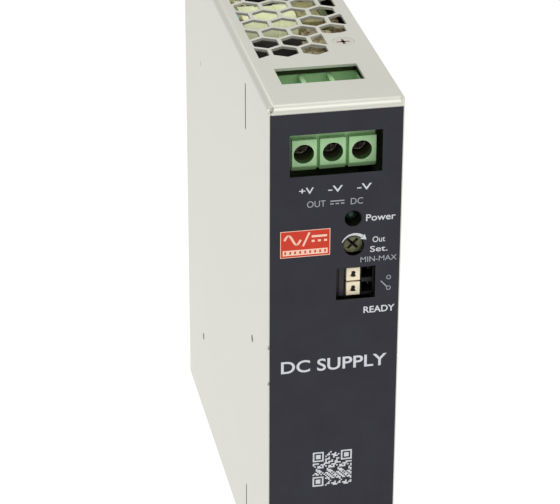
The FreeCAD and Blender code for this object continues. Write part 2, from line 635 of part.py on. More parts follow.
def make_boards():
    tools = [rod("x", ("board_face - 1", "board_face + board_gauge + 1"), place, "post_screw_radius + 0.2")
             for place in post_places()]
    main = block(("board_face", "board_face + board_gauge"), span("board_front", "board_rear"),
                 about("0", "board_half"))
    subpart("main_board", cut(main, *tools))
    front = block(("-front_board_left", "front_board_right"),
                  span("front_board_front", "front_board_front + board_gauge"),
                  about("0", "front_board_half"))
    slots = []
    for side in ("1", "-1"):
        for number in (-1, 0, 1):
            slots.append(block(about(f"{number} * pole_pitch", "tongue_half + 0.1"),
                               span("front_board_front - 1", "front_board_front + board_gauge + 1"),
                               (f"{side} * (cell_low - 0.1)", f"{side} * (foot_high + 0.1)")))
    subpart("front_board", cut(front, *slots))
    signal = block(("signal_board_left", "signal_board_right"),
                   span("signal_board_front", "signal_board_front + signal_board_gauge"),
                   ("signal_board_low", "signal_board_high"))
    leads = [rod("y", span("signal_board_front - 1", "signal_board_front + signal_board_gauge + 1"),
                 (place, "lamp_height"), "lead_radius + 0.1")
             for place in ("lamp_side - 1.27", "lamp_side + 1.27")]
    subpart("signal_board", cut(signal, *leads))
    rear_of_front_board = "front_board_front + board_gauge"
    strips = [block(("header_left", "board_face"),
                    span(rear_of_front_board, f"{rear_of_front_board} + header_deep"), ends)
              for ends in (("-header_low", "-header_mid"), ("header_low", "header_high"))]
    strips.append(block(("link_left", "link_right"),
                        span("signal_board_front + signal_board_gauge", "front_board_front"),
                        ("link_low", "link_high")))
    subpart("board_headers", group(*strips))


def post_places():
    """Y and Z of the board's standoffs."""
    return [(behind(depth_place), height_place) for depth_place in ("post_front", "post_rear")
            for height_place in ("post_height", "-post_height")]


def make_standoffs():
    wall = f"{HALF_WIDTH} - gauge"
    back = "board_face + board_gauge"
    subpart("board_standoffs", group(*[
        cut(rod("x", (back, wall), place, "post_radius"),
            rod("x", (f"{back} - 1", wall), place, "post_screw_radius"))
        for place in post_places()]))
    screws = []
    for place in post_places():
        head = rod("x", ("board_face - post_head_height", "board_face"), place, "post_head_radius")
        shank = rod("x", ("board_face", f"{wall} - 0.2"), place, "post_screw_radius")
        slot = block(("board_face - post_head_height - 1", "board_face - post_head_height + 0.8"),
                     about(place[0], "1.4"), about(place[1], "0.3"))
        cross = block(("board_face - post_head_height - 1", "board_face - post_head_height + 0.8"),
                      about(place[0], "0.3"), about(place[1], "1.4"))
        screws.append(cut(fuse(head, shank), slot, cross))
    subpart("board_screws", group(*screws))
    film = block((f"{wall} - film_gap - film_gauge", f"{wall} - film_gap"),
                 span("board_front", "board_rear"), about("0", "board_half - film_margin + 2"))
    holes = [rod("x", (f"{wall} - 3", f"{wall} + 1"), place, "post_radius + 0.3") for place in post_places()]
    subpart("insulation_film", cut(film, *holes))


# ---------------------------------------------------------------- power parts

def make_output_capacitors():
    cans = [rod("x", ("-output_cap_left", "board_face"),
                (behind("output_cap_depth"), f"output_cap_top - {number} * output_cap_step"),
                "output_cap_radius")
            for number in range(3)]
    subpart("output_capacitors", group(*cans))


def make_transformer():
    tall = ("core_low", "core_high")
    outer = block(("-part_left", "core_right"), span("core_front", "core_rear"), tall)
    window = block(("-part_left + core_plate", "core_right - core_plate"),
                   span("wind_front - 0.8", "wind_rear + 0.8"), ("core_low - 1", "core_high + 1"))
    middle = behind("(core_front + core_rear) / 2")
    leg = rod("x", ("-part_left + core_plate / 2", "core_right - core_plate / 2"),
              (middle, "(core_low + core_high) / 2"), "4")
    subpart("transformer_core", fuse(cut(outer, window), leg))
    winding = block(("-wind_left + flange", "wind_right - flange"), span("wind_front", "wind_rear"),
                    ("wind_low", "wind_high"))
    soft = rounded(winding, "wind_round", lambda edge: runs_along(edge, "x"))
    bore = rod("x", ("-part_left", "core_right"), (middle, "(core_low + core_high) / 2"), "5")
    subpart("transformer_winding", cut(soft, bore))
    flanges = []
    for place in ("-wind_left", "wind_right - flange"):
        flanges.append(block((place, f"{place} + flange"), span("wind_front", "wind_rear"),
                             ("wind_low - 0.6", "wind_high + 0.5")))
    tube = rod("x", ("-wind_left", "wind_right"), (middle, "(core_low + core_high) / 2"), "5")
    base = [block(("wind_right - flange", "board_face"), span("wind_front", "wind_rear"), ends)
            for ends in (("wind_low - 0.6", "core_low - 0.5"), ("core_high + 0.5", "wind_high - 1"))]
    inside = rod("x", ("-wind_left - 1", "wind_right + 1"), (middle, "(core_low + core_high) / 2"), "4.05")
    subpart("transformer_bobbin", cut(fuse(*flanges, tube, *base), inside))


def make_upper_parts():
    disc = rod("x", about("-disc_side", "disc_gauge / 2"), (behind("disc_depth"), "disc_height"),
               "disc_radius")
    over_core = ("core_high + 0.4", "core_high + 1.4")
    back_leg = block(about("-disc_side", "0.3"), span("disc_depth", "core_rear + 1.4"), over_core)
    cross_leg = block(("-disc_side", "board_face"), span("core_rear + 0.8", "core_rear + 1.4"), over_core)
    subpart("line_filter_disc", fuse(disc, back_leg, cross_leg))
    depths = span("sink_rear - sink_length", "sink_rear")
    plate = block(("-part_left", "sink_right"), depths, ("sink_low", "sink_low + sink_gauge"))
    fins = []
    for number in range(4):
        place = f"-part_left + {number} * fin_pitch"
        fins.append(block((place, f"{place} + fin_gauge"), depths, ("sink_low", "sink_low + fin_height")))
    subpart("upper_heat_sink", fuse(plate, *fins))
    axis = (behind("choke_depth"), "choke_height")
    choke = rod("x", ("-part_left + 2", "board_face"), axis, "choke_radius")
    bore = rod("x", ("-part_left", "board_face - 2"), axis, "choke_bore")
    subpart("output_choke", cut(choke, bore))


def make_lower_parts():
    bulk = rod("y", span("bulk_front", "bulk_rear"), ("-bulk_side", "-bulk_height"), "bulk_radius")
    subpart("bulk_capacitor", bulk)
    toroid = rod("x", ("-toroid_side - toroid_thickness / 2", "-toroid_side + toroid_thickness / 2"),
                 (behind("toroid_depth"), "-toroid_height"), "toroid_radius")
    hole = rod("x", ("-toroid_side - toroid_thickness", "-toroid_side + toroid_thickness"),
               (behind("toroid_depth"), "-toroid_height"), "toroid_bore")
    subpart("line_choke", cut(toroid, hole))
    subpart("line_capacitor", block(("-xcap_left", "board_face"), span("xcap_front", "xcap_rear"),
                                    ("-xcap_low", "-xcap_high")))
    subpart("line_fuse", rod("z", ("-fuse_low", "-fuse_high"), ("fuse_side", behind("fuse_depth")),
                             "fuse_radius"))
    subpart("inrush_thermistor", rod("y", about(behind("ntc_depth"), "ntc_gauge / 2"),
                                     ("board_face - ntc_radius - 1", "-ntc_height"), "ntc_radius"))
    subpart("bridge_rectifier", block(("-bridge_left", "board_face"), span("bridge_front", "bridge_rear"),
                                      ("-bridge_low", "-bridge_high")))
    core = block(("-part_left", "core_right"), span("pfc_front", "pfc_rear"),
                 ("-pfc_low + 4", "-pfc_high - 4"))
    window = block(("-part_left + core_plate", "core_right - core_plate"),
                   span("pfc_front + 3", "pfc_rear - 3"), ("-pfc_low", "-pfc_high"))
    subpart("pfc_choke_core", cut(core, window))
    winding = block(("-part_left + core_plate + 0.3", "core_right - core_plate - 0.3"),
                    span("pfc_front + 3.3", "pfc_rear - 3.3"), ("-pfc_low", "-pfc_high"))
    subpart("pfc_choke_winding", rounded(winding, "wind_round", lambda edge: runs_along(edge, "x")))
    depths = span("low_sink_front", "low_sink_rear")
    right = "board_face - 0.4"
    sink = block(("-part_left", right), depths, ("-low_sink_height", "-low_sink_height + sink_gauge"))
    foot = block((f"{right} - sink_gauge", right), depths, ("-low_sink_foot", "-low_sink_height"))
    subpart("lower_heat_sink", fuse(sink, foot))


def make_power_transistors():
    """Two packages under each heat sink."""
    packages = []
    for under in ("sink_low", "-low_sink_height"):
        for number in range(2):
            start = f"sink_rear - 20 + {number} * (fet_width + 0.5)"
            packages.append(block(("-part_left + 3", "-part_left + 3 + fet_height"),
                                  span(start, f"{start} + fet_width"), (f"{under} - fet_gauge", under)))
    subpart("power_transistors", group(*packages))


def make_control_parts():
    subpart("ready_relay", block(("-relay_left", "board_face"), span("relay_front", "relay_rear"),
                                 ("relay_low", "relay_high")))
    couplers = [block(("board_face - opto_gauge", "board_face"),
                      about(behind("opto_depth"), "opto_half"),
                      about(f"opto_top - {number} * opto_step", "opto_height")) for number in range(3)]
    subpart("optocouplers", group(*couplers))
    subpart("control_card", block(("-card_left", "board_face"),
                                  span("card_depth", "card_depth + card_gauge"), ("-card_low", "card_high")))


make_housing_shell()
make_side_cover()
make_front_label()
make_cover_screws()
make_rail_bracket()
make_rail_latch()
make_latch_keepers()
make_rivets()
make_latch_spring()
make_terminals("output", "1")
make_terminals("input", "-1")
make_trimmer()
make_lamp()
make_signal_connector()
make_boards()
make_standoffs()
make_output_capacitors()
make_transformer()
make_upper_parts()
make_lower_parts()
make_power_transistors()
make_control_parts()
document.recompute()

for item in document.Objects:
    failed = {"Invalid", "Error"} & set(item.State)
    if failed:
        raise RuntimeError(f"{item.Label} failed: {item.State}")
for item in subparts:
    if item.Shape.isNull() or not item.Shape.isValid() or not item.Shape.Solids:
        raise RuntimeError(f"{item.Label} has no valid solid")

os.makedirs("parts", exist_ok=True)
for item in subparts:
    item.Shape.exportStep(f"parts/{item.Label}.step")
print(f"{len(subparts)} sub-parts")
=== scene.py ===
"""The finished look of a slim DIN rail power supply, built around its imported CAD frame.

Lengths are in millimetres in the frame's own axes (X right, Y back, Z up) until they reach a
mesh, where MM turns them into metres.
"""
import json
import math
import random

import bmesh
import bpy
from mathutils import Matrix, Vector


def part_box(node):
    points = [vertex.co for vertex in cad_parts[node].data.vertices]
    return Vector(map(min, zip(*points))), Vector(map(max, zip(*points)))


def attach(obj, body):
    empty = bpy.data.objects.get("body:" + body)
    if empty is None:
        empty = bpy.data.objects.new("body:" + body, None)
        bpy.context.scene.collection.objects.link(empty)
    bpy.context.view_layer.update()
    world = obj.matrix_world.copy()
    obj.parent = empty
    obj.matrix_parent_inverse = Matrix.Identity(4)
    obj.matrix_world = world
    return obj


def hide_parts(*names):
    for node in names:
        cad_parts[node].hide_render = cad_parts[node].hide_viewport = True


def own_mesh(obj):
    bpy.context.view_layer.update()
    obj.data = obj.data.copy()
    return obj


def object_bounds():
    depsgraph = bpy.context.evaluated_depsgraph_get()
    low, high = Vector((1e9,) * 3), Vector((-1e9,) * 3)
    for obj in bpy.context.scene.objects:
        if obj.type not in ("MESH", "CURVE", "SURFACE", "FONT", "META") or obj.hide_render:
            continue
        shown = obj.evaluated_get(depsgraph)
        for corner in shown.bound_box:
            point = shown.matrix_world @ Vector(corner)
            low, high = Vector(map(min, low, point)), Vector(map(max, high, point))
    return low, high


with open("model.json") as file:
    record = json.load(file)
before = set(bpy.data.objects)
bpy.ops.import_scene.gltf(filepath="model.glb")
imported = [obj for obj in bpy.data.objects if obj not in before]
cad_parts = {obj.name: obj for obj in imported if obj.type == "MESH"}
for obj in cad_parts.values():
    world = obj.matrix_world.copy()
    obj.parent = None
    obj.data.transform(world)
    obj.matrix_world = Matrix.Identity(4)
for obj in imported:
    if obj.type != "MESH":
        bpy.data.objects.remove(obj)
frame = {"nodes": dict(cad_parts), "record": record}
cad_low, cad_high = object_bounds()

MM = 0.001
TURN = 2 * math.pi
SEED = 41
add_object = bpy.context.scene.collection.objects.link
# an edge is shaded sharp, or bevelled, where its faces meet at more than this
PIECE_SHARP, NODE_SHARP, BEVEL_FROM = math.radians(38), math.radians(30), math.radians(40)


# ---- reading the frame
def box_of(node):
    """A CAD node's lowest and highest corners in millimetres."""
    low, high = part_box(node)
    return low / MM, high / MM


def middle_of(node):
    low, high = box_of(node)
    return (low + high) / 2


# ---- materials
NOISE_LOW, NOISE_HIGH = 0.36, 0.64      # nearly all of a noise lies between these
BUMP_STRENGTH = 0.6
COAT_ROUGHNESS = 0.12


def linear(colour):
    """Turns a colour written 0 to 255 in sRGB into the shader's linear values."""
    parts = [c / 255 for c in colour]
    return [p / 12.92 if p <= 0.04045 else ((p + 0.055) / 1.055) ** 2.4 for p in parts] + [1.0]


def noise(tree, place, size, detail=3.0, stretch=(1, 1, 1)):
    """A noise whose features are about size millimetres across, drawn out along an axis by
    stretch."""
    fit = tree.nodes.new("ShaderNodeMapping")
    fit.inputs["Scale"].default_value = [1 / s for s in stretch]
    tree.links.new(place.outputs["Object"], fit.inputs["Vector"])
    made = tree.nodes.new("ShaderNodeTexNoise")
    made.inputs["Scale"].default_value = 1 / (size * MM)
    made.inputs["Detail"].default_value = detail
    tree.links.new(fit.outputs["Vector"], made.inputs["Vector"])
    return made.outputs["Fac"]


def surface(name, colour, roughness, metallic, tone, mottling, grain, relief, gloss_spread=0.08,
            stretch=(1, 1, 1), coat=0.0, second=None, specular=0.5, glow=0.0):
    """A procedural finish. Mottling is the size of the slow change of colour, grain the size of
    the fine one, tone how much lighter and darker it gets, relief how deep the grain is, second
    a colour to drift to, and glow how much light the surface adds of its own."""
    made = bpy.data.materials.new(name)
    made.use_nodes = True
    tree = made.node_tree
    link = tree.links.new
    shader = tree.nodes["Principled BSDF"]
    shader.inputs["Metallic"].default_value = metallic
    shader.inputs["Specular IOR Level"].default_value = specular
    if coat:
        shader.inputs["Coat Weight"].default_value = coat
        shader.inputs["Coat Roughness"].default_value = COAT_ROUGHNESS
    if glow:
        shader.inputs["Emission Color"].default_value = linear(colour)
        shader.inputs["Emission Strength"].default_value = glow
    place = tree.nodes.new("ShaderNodeTexCoord")
    slow = noise(tree, place, mottling, 2.0)
    fine = noise(tree, place, grain, 4.0, stretch)
    both = tree.nodes.new("ShaderNodeMath")
    both.operation = "ADD"
    link(slow, both.inputs[0])
    link(fine, both.inputs[1])
    half = tree.nodes.new("ShaderNodeMath")
    half.operation = "MULTIPLY"
    half.inputs[1].default_value = 0.5
    link(both.outputs[0], half.inputs[0])
    ramp = tree.nodes.new("ShaderNodeValToRGB")
    ends = ((NOISE_LOW, linear(second or colour), 1 - tone), (NOISE_HIGH, linear(colour), 1 + tone))
    for element, (position, shade, scale) in zip(ramp.color_ramp.elements, ends):
        element.position = position
        element.color = [min(1, c * scale) for c in shade[:3]] + [1]
    link(half.outputs[0], ramp.inputs["Fac"])
    link(ramp.outputs["Color"], shader.inputs["Base Color"])
    gloss = tree.nodes.new("ShaderNodeMapRange")
    gloss.inputs["To Min"].default_value = max(0.02, roughness - gloss_spread)
    gloss.inputs["To Max"].default_value = min(1.0, roughness + gloss_spread)
    link(half.outputs[0], gloss.inputs["Value"])
    link(gloss.outputs["Result"], shader.inputs["Roughness"])
    bump = tree.nodes.new("ShaderNodeBump")
    bump.inputs["Strength"].default_value = BUMP_STRENGTH
    bump.inputs["Distance"].default_value = relief * MM
    link(fine, bump.inputs["Height"])
    link(bump.outputs["Normal"], shader.inputs["Normal"])
    return made


BRUSHED_UP = (1, 1, 14)
BRUSHED_ACROSS = (9, 1, 1)
# Colour, roughness, metallic, tone, mottling, grain and relief, and last what else a look
# changes of surface()'s defaults. The record's material slots come first.
LOOKS = {
    "case_metal": ((217, 217, 206), 0.4, 0.6, 0.018, 24, 0.25, 0.0015,
                   {"gloss_spread": 0.05, "stretch": BRUSHED_UP}),
    "front_print": ((43, 43, 51), 0.52, 0, 0.14, 7, 0.35, 0.006,
                    {"gloss_spread": 0.06, "specular": 0.2}),
    "zinc_steel": ((190, 193, 192), 0.34, 0.9, 0.06, 5, 0.6, 0.004,
                   {"gloss_spread": 0.1, "second": (196, 192, 178)}),
    "spring_steel": ((150, 152, 155), 0.28, 1.0, 0.06, 3, 0.2, 0.002),
    "terminal_green": ((172, 214, 160), 0.42, 0, 0.05, 5, 0.3, 0.008, {"second": (160, 206, 148)}),
    "contact_tin": ((208, 206, 200), 0.3, 0.9, 0.07, 3, 0.3, 0.004),
    "lamp_green": ((18, 48, 38), 0.3, 0, 0.12, 2, 0.4, 0.001,
                   {"gloss_spread": 0.03, "coat": 0.15, "specular": 0.4}),
    "black_plastic": ((15, 15, 16), 0.45, 0, 0.12, 4, 0.25, 0.006, {"specular": 0.3}),
    "trimmer_blue": ((58, 60, 46), 0.45, 0, 0.1, 3, 0.3, 0.004),
    "rotor_metal": ((112, 112, 80), 0.42, 0.3, 0.16, 1.2, 0.2, 0.006, {"second": (84, 86, 62)}),
    "button_cream": ((246, 232, 202), 0.4, 0, 0.04, 3, 0.3, 0.006),
    "board_green": ((92, 112, 72), 0.36, 0, 0.1, 4, 0.5, 0.01, {"second": (112, 118, 80)}),
    "film_black": ((26, 28, 25), 0.35, 0, 0.08, 12, 0.8, 0.01),
    "can_sleeve": ((34, 30, 25), 0.5, 0, 0.16, 6, 0.5, 0.004, {"specular": 0.12}),
    "ferrite": ((70, 69, 68), 0.6, 0, 0.14, 2, 0.25, 0.02),
    # the tape's glow is painted light: it brightens the windings and the output choke's wire behind
    # the vents, where little lamp light reaches
    "tape_yellow": ((238, 241, 200), 0.3, 0, 0.05, 6, 1.4, 0.03,
                    {"second": (226, 234, 180), "glow": 0.14}),
    "disc_blue": ((150, 194, 200), 0.34, 0, 0.07, 3, 0.5, 0.02),
    "choke_copper": ((196, 112, 62), 0.3, 0.85, 0.1, 2, 0.3, 0.004),
    "heat_sink_metal": ((190, 192, 190), 0.38, 0.8, 0.06, 8, 0.2, 0.004,
                        {"stretch": BRUSHED_ACROSS}),
    "package_black": ((34, 34, 36), 0.55, 0, 0.1, 3, 0.2, 0.008),
    "box_grey": ((150, 152, 146), 0.42, 0, 0.05, 5, 0.3, 0.008),
    "fuse_ceramic": ((226, 218, 200), 0.38, 0, 0.04, 3, 0.3, 0.006),
    "thermistor_green": ((60, 92, 62), 0.5, 0, 0.1, 2, 0.4, 0.02),
    # looks that only some pieces of a slot have
    # painted shade: dark liners in the terminal bores, dark olive deep in the bore and dark green
    # at its mouth
    "well_shade": ((52, 60, 38), 0.5, 0, 0.1, 3, 0.3, 0.01,
                   {"second": (60, 54, 36), "specular": 0.3}),
    "well_mouth_shade": ((66, 104, 54), 0.45, 0, 0.08, 3, 0.3, 0.01, {"second": (58, 92, 46)}),
    # painted shade: a darker copy of the zinc steel for the terminal screws deep in their bores
    "screw_shade_steel": ((128, 118, 104), 0.3, 0.8, 0.14, 1.5, 0.2, 0.01, {"second": (84, 76, 64)}),
    # painted highlight: steel brighter than the terminal screws' own, for a bead at the edge of
    # each head
    "screw_edge_highlight": ((150, 143, 130), 0.24, 0.8, 0.2, 0.8, 0.2, 0.006, {"second": (96, 88, 76)}),
    # painted highlight: a lighter green than the block, for the rims round the terminal bores
    "rim_highlight": ((196, 226, 186), 0.36, 0, 0.05, 2, 0.3, 0.004),
    "bobbin_tan": ((182, 174, 124), 0.5, 0, 0.12, 2, 0.4, 0.02, {"second": (140, 132, 84)}),
    "cover_head": ((214, 212, 202), 0.42, 0.6, 0.04, 3, 0.3, 0.003),
    # painted shade: the brown fill in the cover screws' cross recesses
    "recess_shade_brown": ((150, 104, 82), 0.5, 0.3, 0.16, 0.8, 0.2, 0.01, {"second": (96, 70, 56)}),
    # painted shade: dark inserts in the trimmer's cross slot and the buttons' driver notches
    "notch_shade_dark": ((30, 24, 14), 0.6, 0, 0.1, 1, 0.2, 0.004, {"specular": 0.2}),
    "rib_grey": ((50, 46, 52), 0.5, 0, 0.1, 2, 0.2, 0.004, {"specular": 0.3}),
    # painted shade: dark steel for the studs in the side's dimples and the strips at its slits
    "shade_dark_steel": ((58, 52, 47), 0.45, 0.5, 0.08, 1, 0.2, 0.004),
    "dip_tan": ((196, 180, 142), 0.4, 0, 0.12, 1.6, 0.5, 0.02, {"second": (104, 90, 56)}),
    "ink_white": ((206, 207, 211), 0.55, 0, 0.05, 1.5, 0.15, 0.002, {"specular": 0.2}),
    "ink_grey": ((158, 160, 166), 0.55, 0, 0.06, 1.5, 0.15, 0.002, {"specular": 0.2}),
    "ink_red": ((200, 58, 38), 0.5, 0, 0.05, 3, 0.15, 0.002, {"specular": 0.2}),
    "ink_cream": ((240, 200, 176), 0.5, 0, 0.05, 1, 0.15, 0.002, {"specular": 0.2}),
}
FINISH = {name: surface(name, *row[:7], **dict(*row[7:])) for name, row in LOOKS.items()}


# ---- mesh tools
class Pile:
    """Vertices in millimetres and faces, gathered from several simple shapes into one mesh."""

    def __init__(self):
        self.corners = []
        self.faces = []

    def add(self, corners, faces, place=None):
        first = len(self.corners)
        place = place or Matrix.Identity(4)
        self.corners += [place @ Vector(c) for c in corners]
        self.faces += [[i + first for i in face] for face in faces]
        return self

    def rows(self, rings, caps=True):
        """Joins rings of equal length, one to the next, and closes both ends with a face."""
        count = len(rings[0])
        faces = []
        for r in range(len(rings) - 1):
            for i in range(count):
                a, b = r * count + i, r * count + (i + 1) % count
                faces.append([a, b, b + count, a + count])
        if caps:
            faces.append(list(range(count))[::-1])
            faces.append([(len(rings) - 1) * count + i for i in range(count)])
        return self.add([c for ring in rings for c in ring], faces)

    def box(self, low, high, bevel=0.0, segments=2):
        """A block between two corners with rounded edges."""
        block = bmesh.new()
        bmesh.ops.create_cube(block, size=1)
        low, high = Vector(low), Vector(high)
        size = high - low
        for v in block.verts:
            v.co = Vector((v.co[i] * size[i] for i in range(3))) + (low + high) / 2
        if bevel:
            bmesh.ops.bevel(block, geom=block.edges[:], offset=bevel, segments=segments,
                            affect="EDGES")
        block.verts.index_update()
        self.add([v.co.copy() for v in block.verts],
                 [[v.index for v in face.verts] for face in block.faces])
        block.free()
        return self

    def lathe(self, profile, centre, axis, steps=40, caps=True):
        """Turns a profile of (radius, height) round an axis through centre. It starts and ends
        off the axis. A profile that comes back to its start needs no caps."""
        turn = Vector((0, 0, 1)).rotation_difference(Vector(axis)).to_matrix().to_4x4()
        place = Matrix.Translation(Vector(centre)) @ turn
        angles = [TURN * i / steps for i in range(steps)]
        rings = [[(radius * math.cos(a), radius * math.sin(a), height) for a in angles]
                 for radius, height in profile]
        inner = Pile().rows(rings, caps=caps)
        return self.add(inner.corners, inner.faces, place)

    def tube(self, path, radius, sides=8):
        """A round wire along a path of points."""
        path = [Vector(p) for p in path]
        last = len(path) - 1
        rings, normal = [], None
        for i, point in enumerate(path):
            along = (path[min(i + 1, last)] - path[max(i - 1, 0)]).normalized()
            if normal is None:
                normal = along.orthogonal().normalized()
            normal = (normal - along * normal.dot(along)).normalized()
            across = along.cross(normal)
            rings.append([point + radius * (math.cos(TURN * s / sides) * normal
                                            + math.sin(TURN * s / sides) * across)
                          for s in range(sides)])
        return self.rows(rings)

    def mesh(self, name):
        made = bpy.data.meshes.new(name)
        made.from_pydata([Vector(c) * MM for c in self.corners], [], self.faces)
        tidy = bmesh.new()
        tidy.from_mesh(made)
        bmesh.ops.remove_doubles(tidy, verts=tidy.verts, dist=1e-7)
        bmesh.ops.recalc_face_normals(tidy, faces=tidy.faces)
        tidy.to_mesh(made)
        tidy.free()
        return made


def piece(name, shape, slot, stands_for=(), look=None, body="housing"):
    """Puts a pile into the scene as one piece that rides on a body and stands for CAD nodes.
    Its look is its slot's unless it has its own."""
    made = shape.mesh(name)
    made.materials.append(FINISH[look or slot])
    for face in made.polygons:
        face.use_smooth = True
    made.set_sharp_from_angle(angle=PIECE_SHARP)
    obj = bpy.data.objects.new(name, made)
    add_object(obj)
    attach(obj, body)
    if stands_for:
        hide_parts(*stands_for)
    return obj


# ---- profiles for the lathe
POLE = 0.05     # how far off its axis a lathed dome starts and ends


def dome_profile(radius, half, fullness, steps=12):
    """A rounded body from pole to pole; a small fullness makes it nearly a drum."""
    return [(POLE + (radius - POLE) * math.sin(math.pi * i / steps) ** fullness,
             -half * math.cos(math.pi * i / steps)) for i in range(steps + 1)]


def bead_profile(radius, height, size, steps=10):
    """A thin round ring."""
    return [(radius + size * math.cos(TURN * i / steps), height - size * math.sin(TURN * i / steps))
            for i in range(steps + 1)]


CAN_SINK = 0.25     # how far a can's bare top lies below its rim


def can_profile(radius, length):
    """An electrolytic can from its bung to its top: rolled bead, crimped neck, straight wall
    and rounded shoulder."""
    bead, bead_top, rounding, steps = 0.35, 1.2, 0.9, 5
    neck, neck_height, blend, reach, wall_start = radius * 0.9, 2.1, 0.15, 0.4, 3.1
    foot = [(radius * 0.5, 0), (radius - 2 * bead, 0), (radius - bead, 0.1),
            (radius, bead + 0.1), (radius, bead_top)]
    crimp = [(neck + blend, neck_height - reach), (neck, neck_height),
             (neck + blend, neck_height + reach), (radius, wall_start)]
    shoulder = [(radius - rounding + rounding * math.cos(math.pi / 2 * i / steps),
                 length - rounding + rounding * math.sin(math.pi / 2 * i / steps))
                for i in range(steps + 1)]
    rim = [(radius * 0.82, length), (radius * 0.8, length - CAN_SINK),
           (radius * 0.2, length - CAN_SINK)]
    return foot + crimp + shoulder + rim


# ---- CAD nodes: finish and edges
def joined_faces():
    """A modifier group that joins the CAD faces along their edges and shades them by the angle
    between them."""
    tree = bpy.data.node_groups.new("joined_faces", "GeometryNodeTree")
    for side in ("INPUT", "OUTPUT"):
        tree.interface.new_socket("Geometry", in_out=side, socket_type="NodeSocketGeometry")
    start, end = tree.nodes.new("NodeGroupInput"), tree.nodes.new("NodeGroupOutput")
    merge = tree.nodes.new("GeometryNodeMergeByDistance")
    merge.inputs["Distance"].default_value = 0.002 * MM
    angle = tree.nodes.new("GeometryNodeInputMeshEdgeAngle")
    sharp = tree.nodes.new("FunctionNodeCompare")
    sharp.operation = "GREATER_THAN"
    sharp.inputs["B"].default_value = NODE_SHARP
    normal = tree.nodes.new("GeometryNodeSetMeshNormal")
    normal.mode = "SHARPNESS"
    normal.inputs["Remove Custom"].default_value = True
    tree.links.new(start.outputs[0], merge.inputs["Geometry"])
    tree.links.new(merge.outputs["Geometry"], normal.inputs["Mesh"])
    tree.links.new(angle.outputs["Unsigned Angle"], sharp.inputs["A"])
    tree.links.new(sharp.outputs["Result"], normal.inputs["Edge Sharpness"])
    tree.links.new(normal.outputs["Mesh"], end.inputs[0])
    return tree


EDGE_RADIUS = {
    "case_metal": 0.05, "zinc_steel": 0.08, "terminal_green": 0.12, "contact_tin": 0.05,
    "black_plastic": 0.12, "button_cream": 0.15, "board_green": 0.05, "ferrite": 0.3,
    "heat_sink_metal": 0.15, "package_black": 0.15, "box_grey": 0.3, "trimmer_blue": 0.12,
    "rotor_metal": 0.06, "tape_yellow": 0.5,
}


def finish_of(node, slot):
    """A node's finish: its own if it has one, or else its slot's."""
    own = {"cover_screws": "cover_head", "transformer_bobbin": "bobbin_tan"}
    # the terminal screws take the darker steel, which is painted shade
    return FINISH["screw_shade_steel" if "_screw_" in node else own.get(node, slot)]


def finish_nodes():
    """Gives every CAD node its material and joined faces, and an edge radius to those whose slot
    has one.
    """
    join = joined_faces()
    for part in frame["record"]["subparts"]:
        node, slot = frame["nodes"][part["node"]], part["material_slot"]
        for holder in node.material_slots:
            holder.material = finish_of(part["node"], slot)
        node.modifiers.new("joined", "NODES").node_group = join
        if slot in EDGE_RADIUS:
            edge = node.modifiers.new("edges", "BEVEL")
            edge.width = EDGE_RADIUS[slot] * MM
            edge.segments = 2
            edge.limit_method = "ANGLE"
            edge.angle_limit = BEVEL_FROM
            edge.harden_normals = True


# ---- parts behind the vents
def electrolytic(name, node, bung, axis, radius, length):
    """A sleeved can, from its bung along axis, with a bare top that is scored to vent."""
    bung, axis = Vector(bung), Vector(axis)
    piece(name, Pile().lathe(can_profile(radius, length), bung, axis), "can_sleeve", (node,))
    hub, rim, thick, score = radius * 0.1, radius * 0.78, 0.12, 0.1
    top = Pile().lathe([(hub, 0), (rim, 0), (rim, thick), (hub, thick)],
                       bung + axis * (length - CAN_SINK), axis)
    middle, across = bung + axis * (length - thick), axis.orthogonal().normalized()
    for line in (across, axis.cross(across)):
        arm = line * radius * 0.55
        top.tube([middle - arm, middle + arm], score, 6)
    piece(name + "_top", top, "contact_tin", (node,))


def output_cans():
    low, high = box_of("output_capacitors")
    radius, count = (high.y - low.y) / 2, 3
    pitch = (high.z - low.z - 2 * radius) / (count - 1)
    for i in range(count):
        bung = (high.x, (low.y + high.y) / 2, high.z - radius - i * pitch)
        electrolytic(f"output_can_{i + 1}", "output_capacitors", bung, (-1, 0, 0), radius,
                     high.x - low.x)


def bulk_can():
    low, high = box_of("bulk_capacitor")
    bung = ((low.x + high.x) / 2, high.y, (low.z + high.z) / 2)
    electrolytic("bulk_can", "bulk_capacitor", bung, (0, -1, 0), (high.x - low.x) / 2,
                 high.y - low.y)


def rounded_ring(middle, y_half, z_half, radius, x, arc_steps=7):
    """Points of a rounded rectangle in the plane at x."""
    points = []
    for quarter, (sy, sz) in enumerate(((1, 1), (-1, 1), (-1, -1), (1, -1))):
        for i in range(arc_steps + 1):
            angle = math.pi / 2 * (quarter + i / arc_steps)
            points.append((x, middle.y + sy * (y_half - radius) + radius * math.cos(angle),
                           middle.z + sz * (z_half - radius) + radius * math.sin(angle)))
    return points


def taped_winding(name, node, corner, bands):
    """A coil wound along X and wrapped in tape, whose overlapping bands leave small steps."""
    low, high = box_of(node)
    middle, half = (low + high) / 2, (high - low) / 2
    step, blend, dip = 0.22, 0.15, 0.3
    lip, core, core_corner = 0.35, 1.5, corner - 1.2
    width = (high.x - low.x) / bands

    def ring(x, sunk, rounding):
        return rounded_ring(middle, half.y - sunk, half.z - sunk, rounding, x)

    rings = [ring(low.x + lip, core, core_corner)]
    for band in range(bands):
        left, right = low.x + band * width, low.x + (band + 1) * width
        inset = step if band % 2 else 0
        for x, sunk in ((left, inset + dip), (left + blend, inset),
                        (right - blend, inset), (right, inset + dip)):
            rings.append(ring(x, sunk, corner - sunk))
    rings.append(ring(high.x - lip, core, core_corner))
    piece(name, Pile().rows(rings), "tape_yellow", (node,))


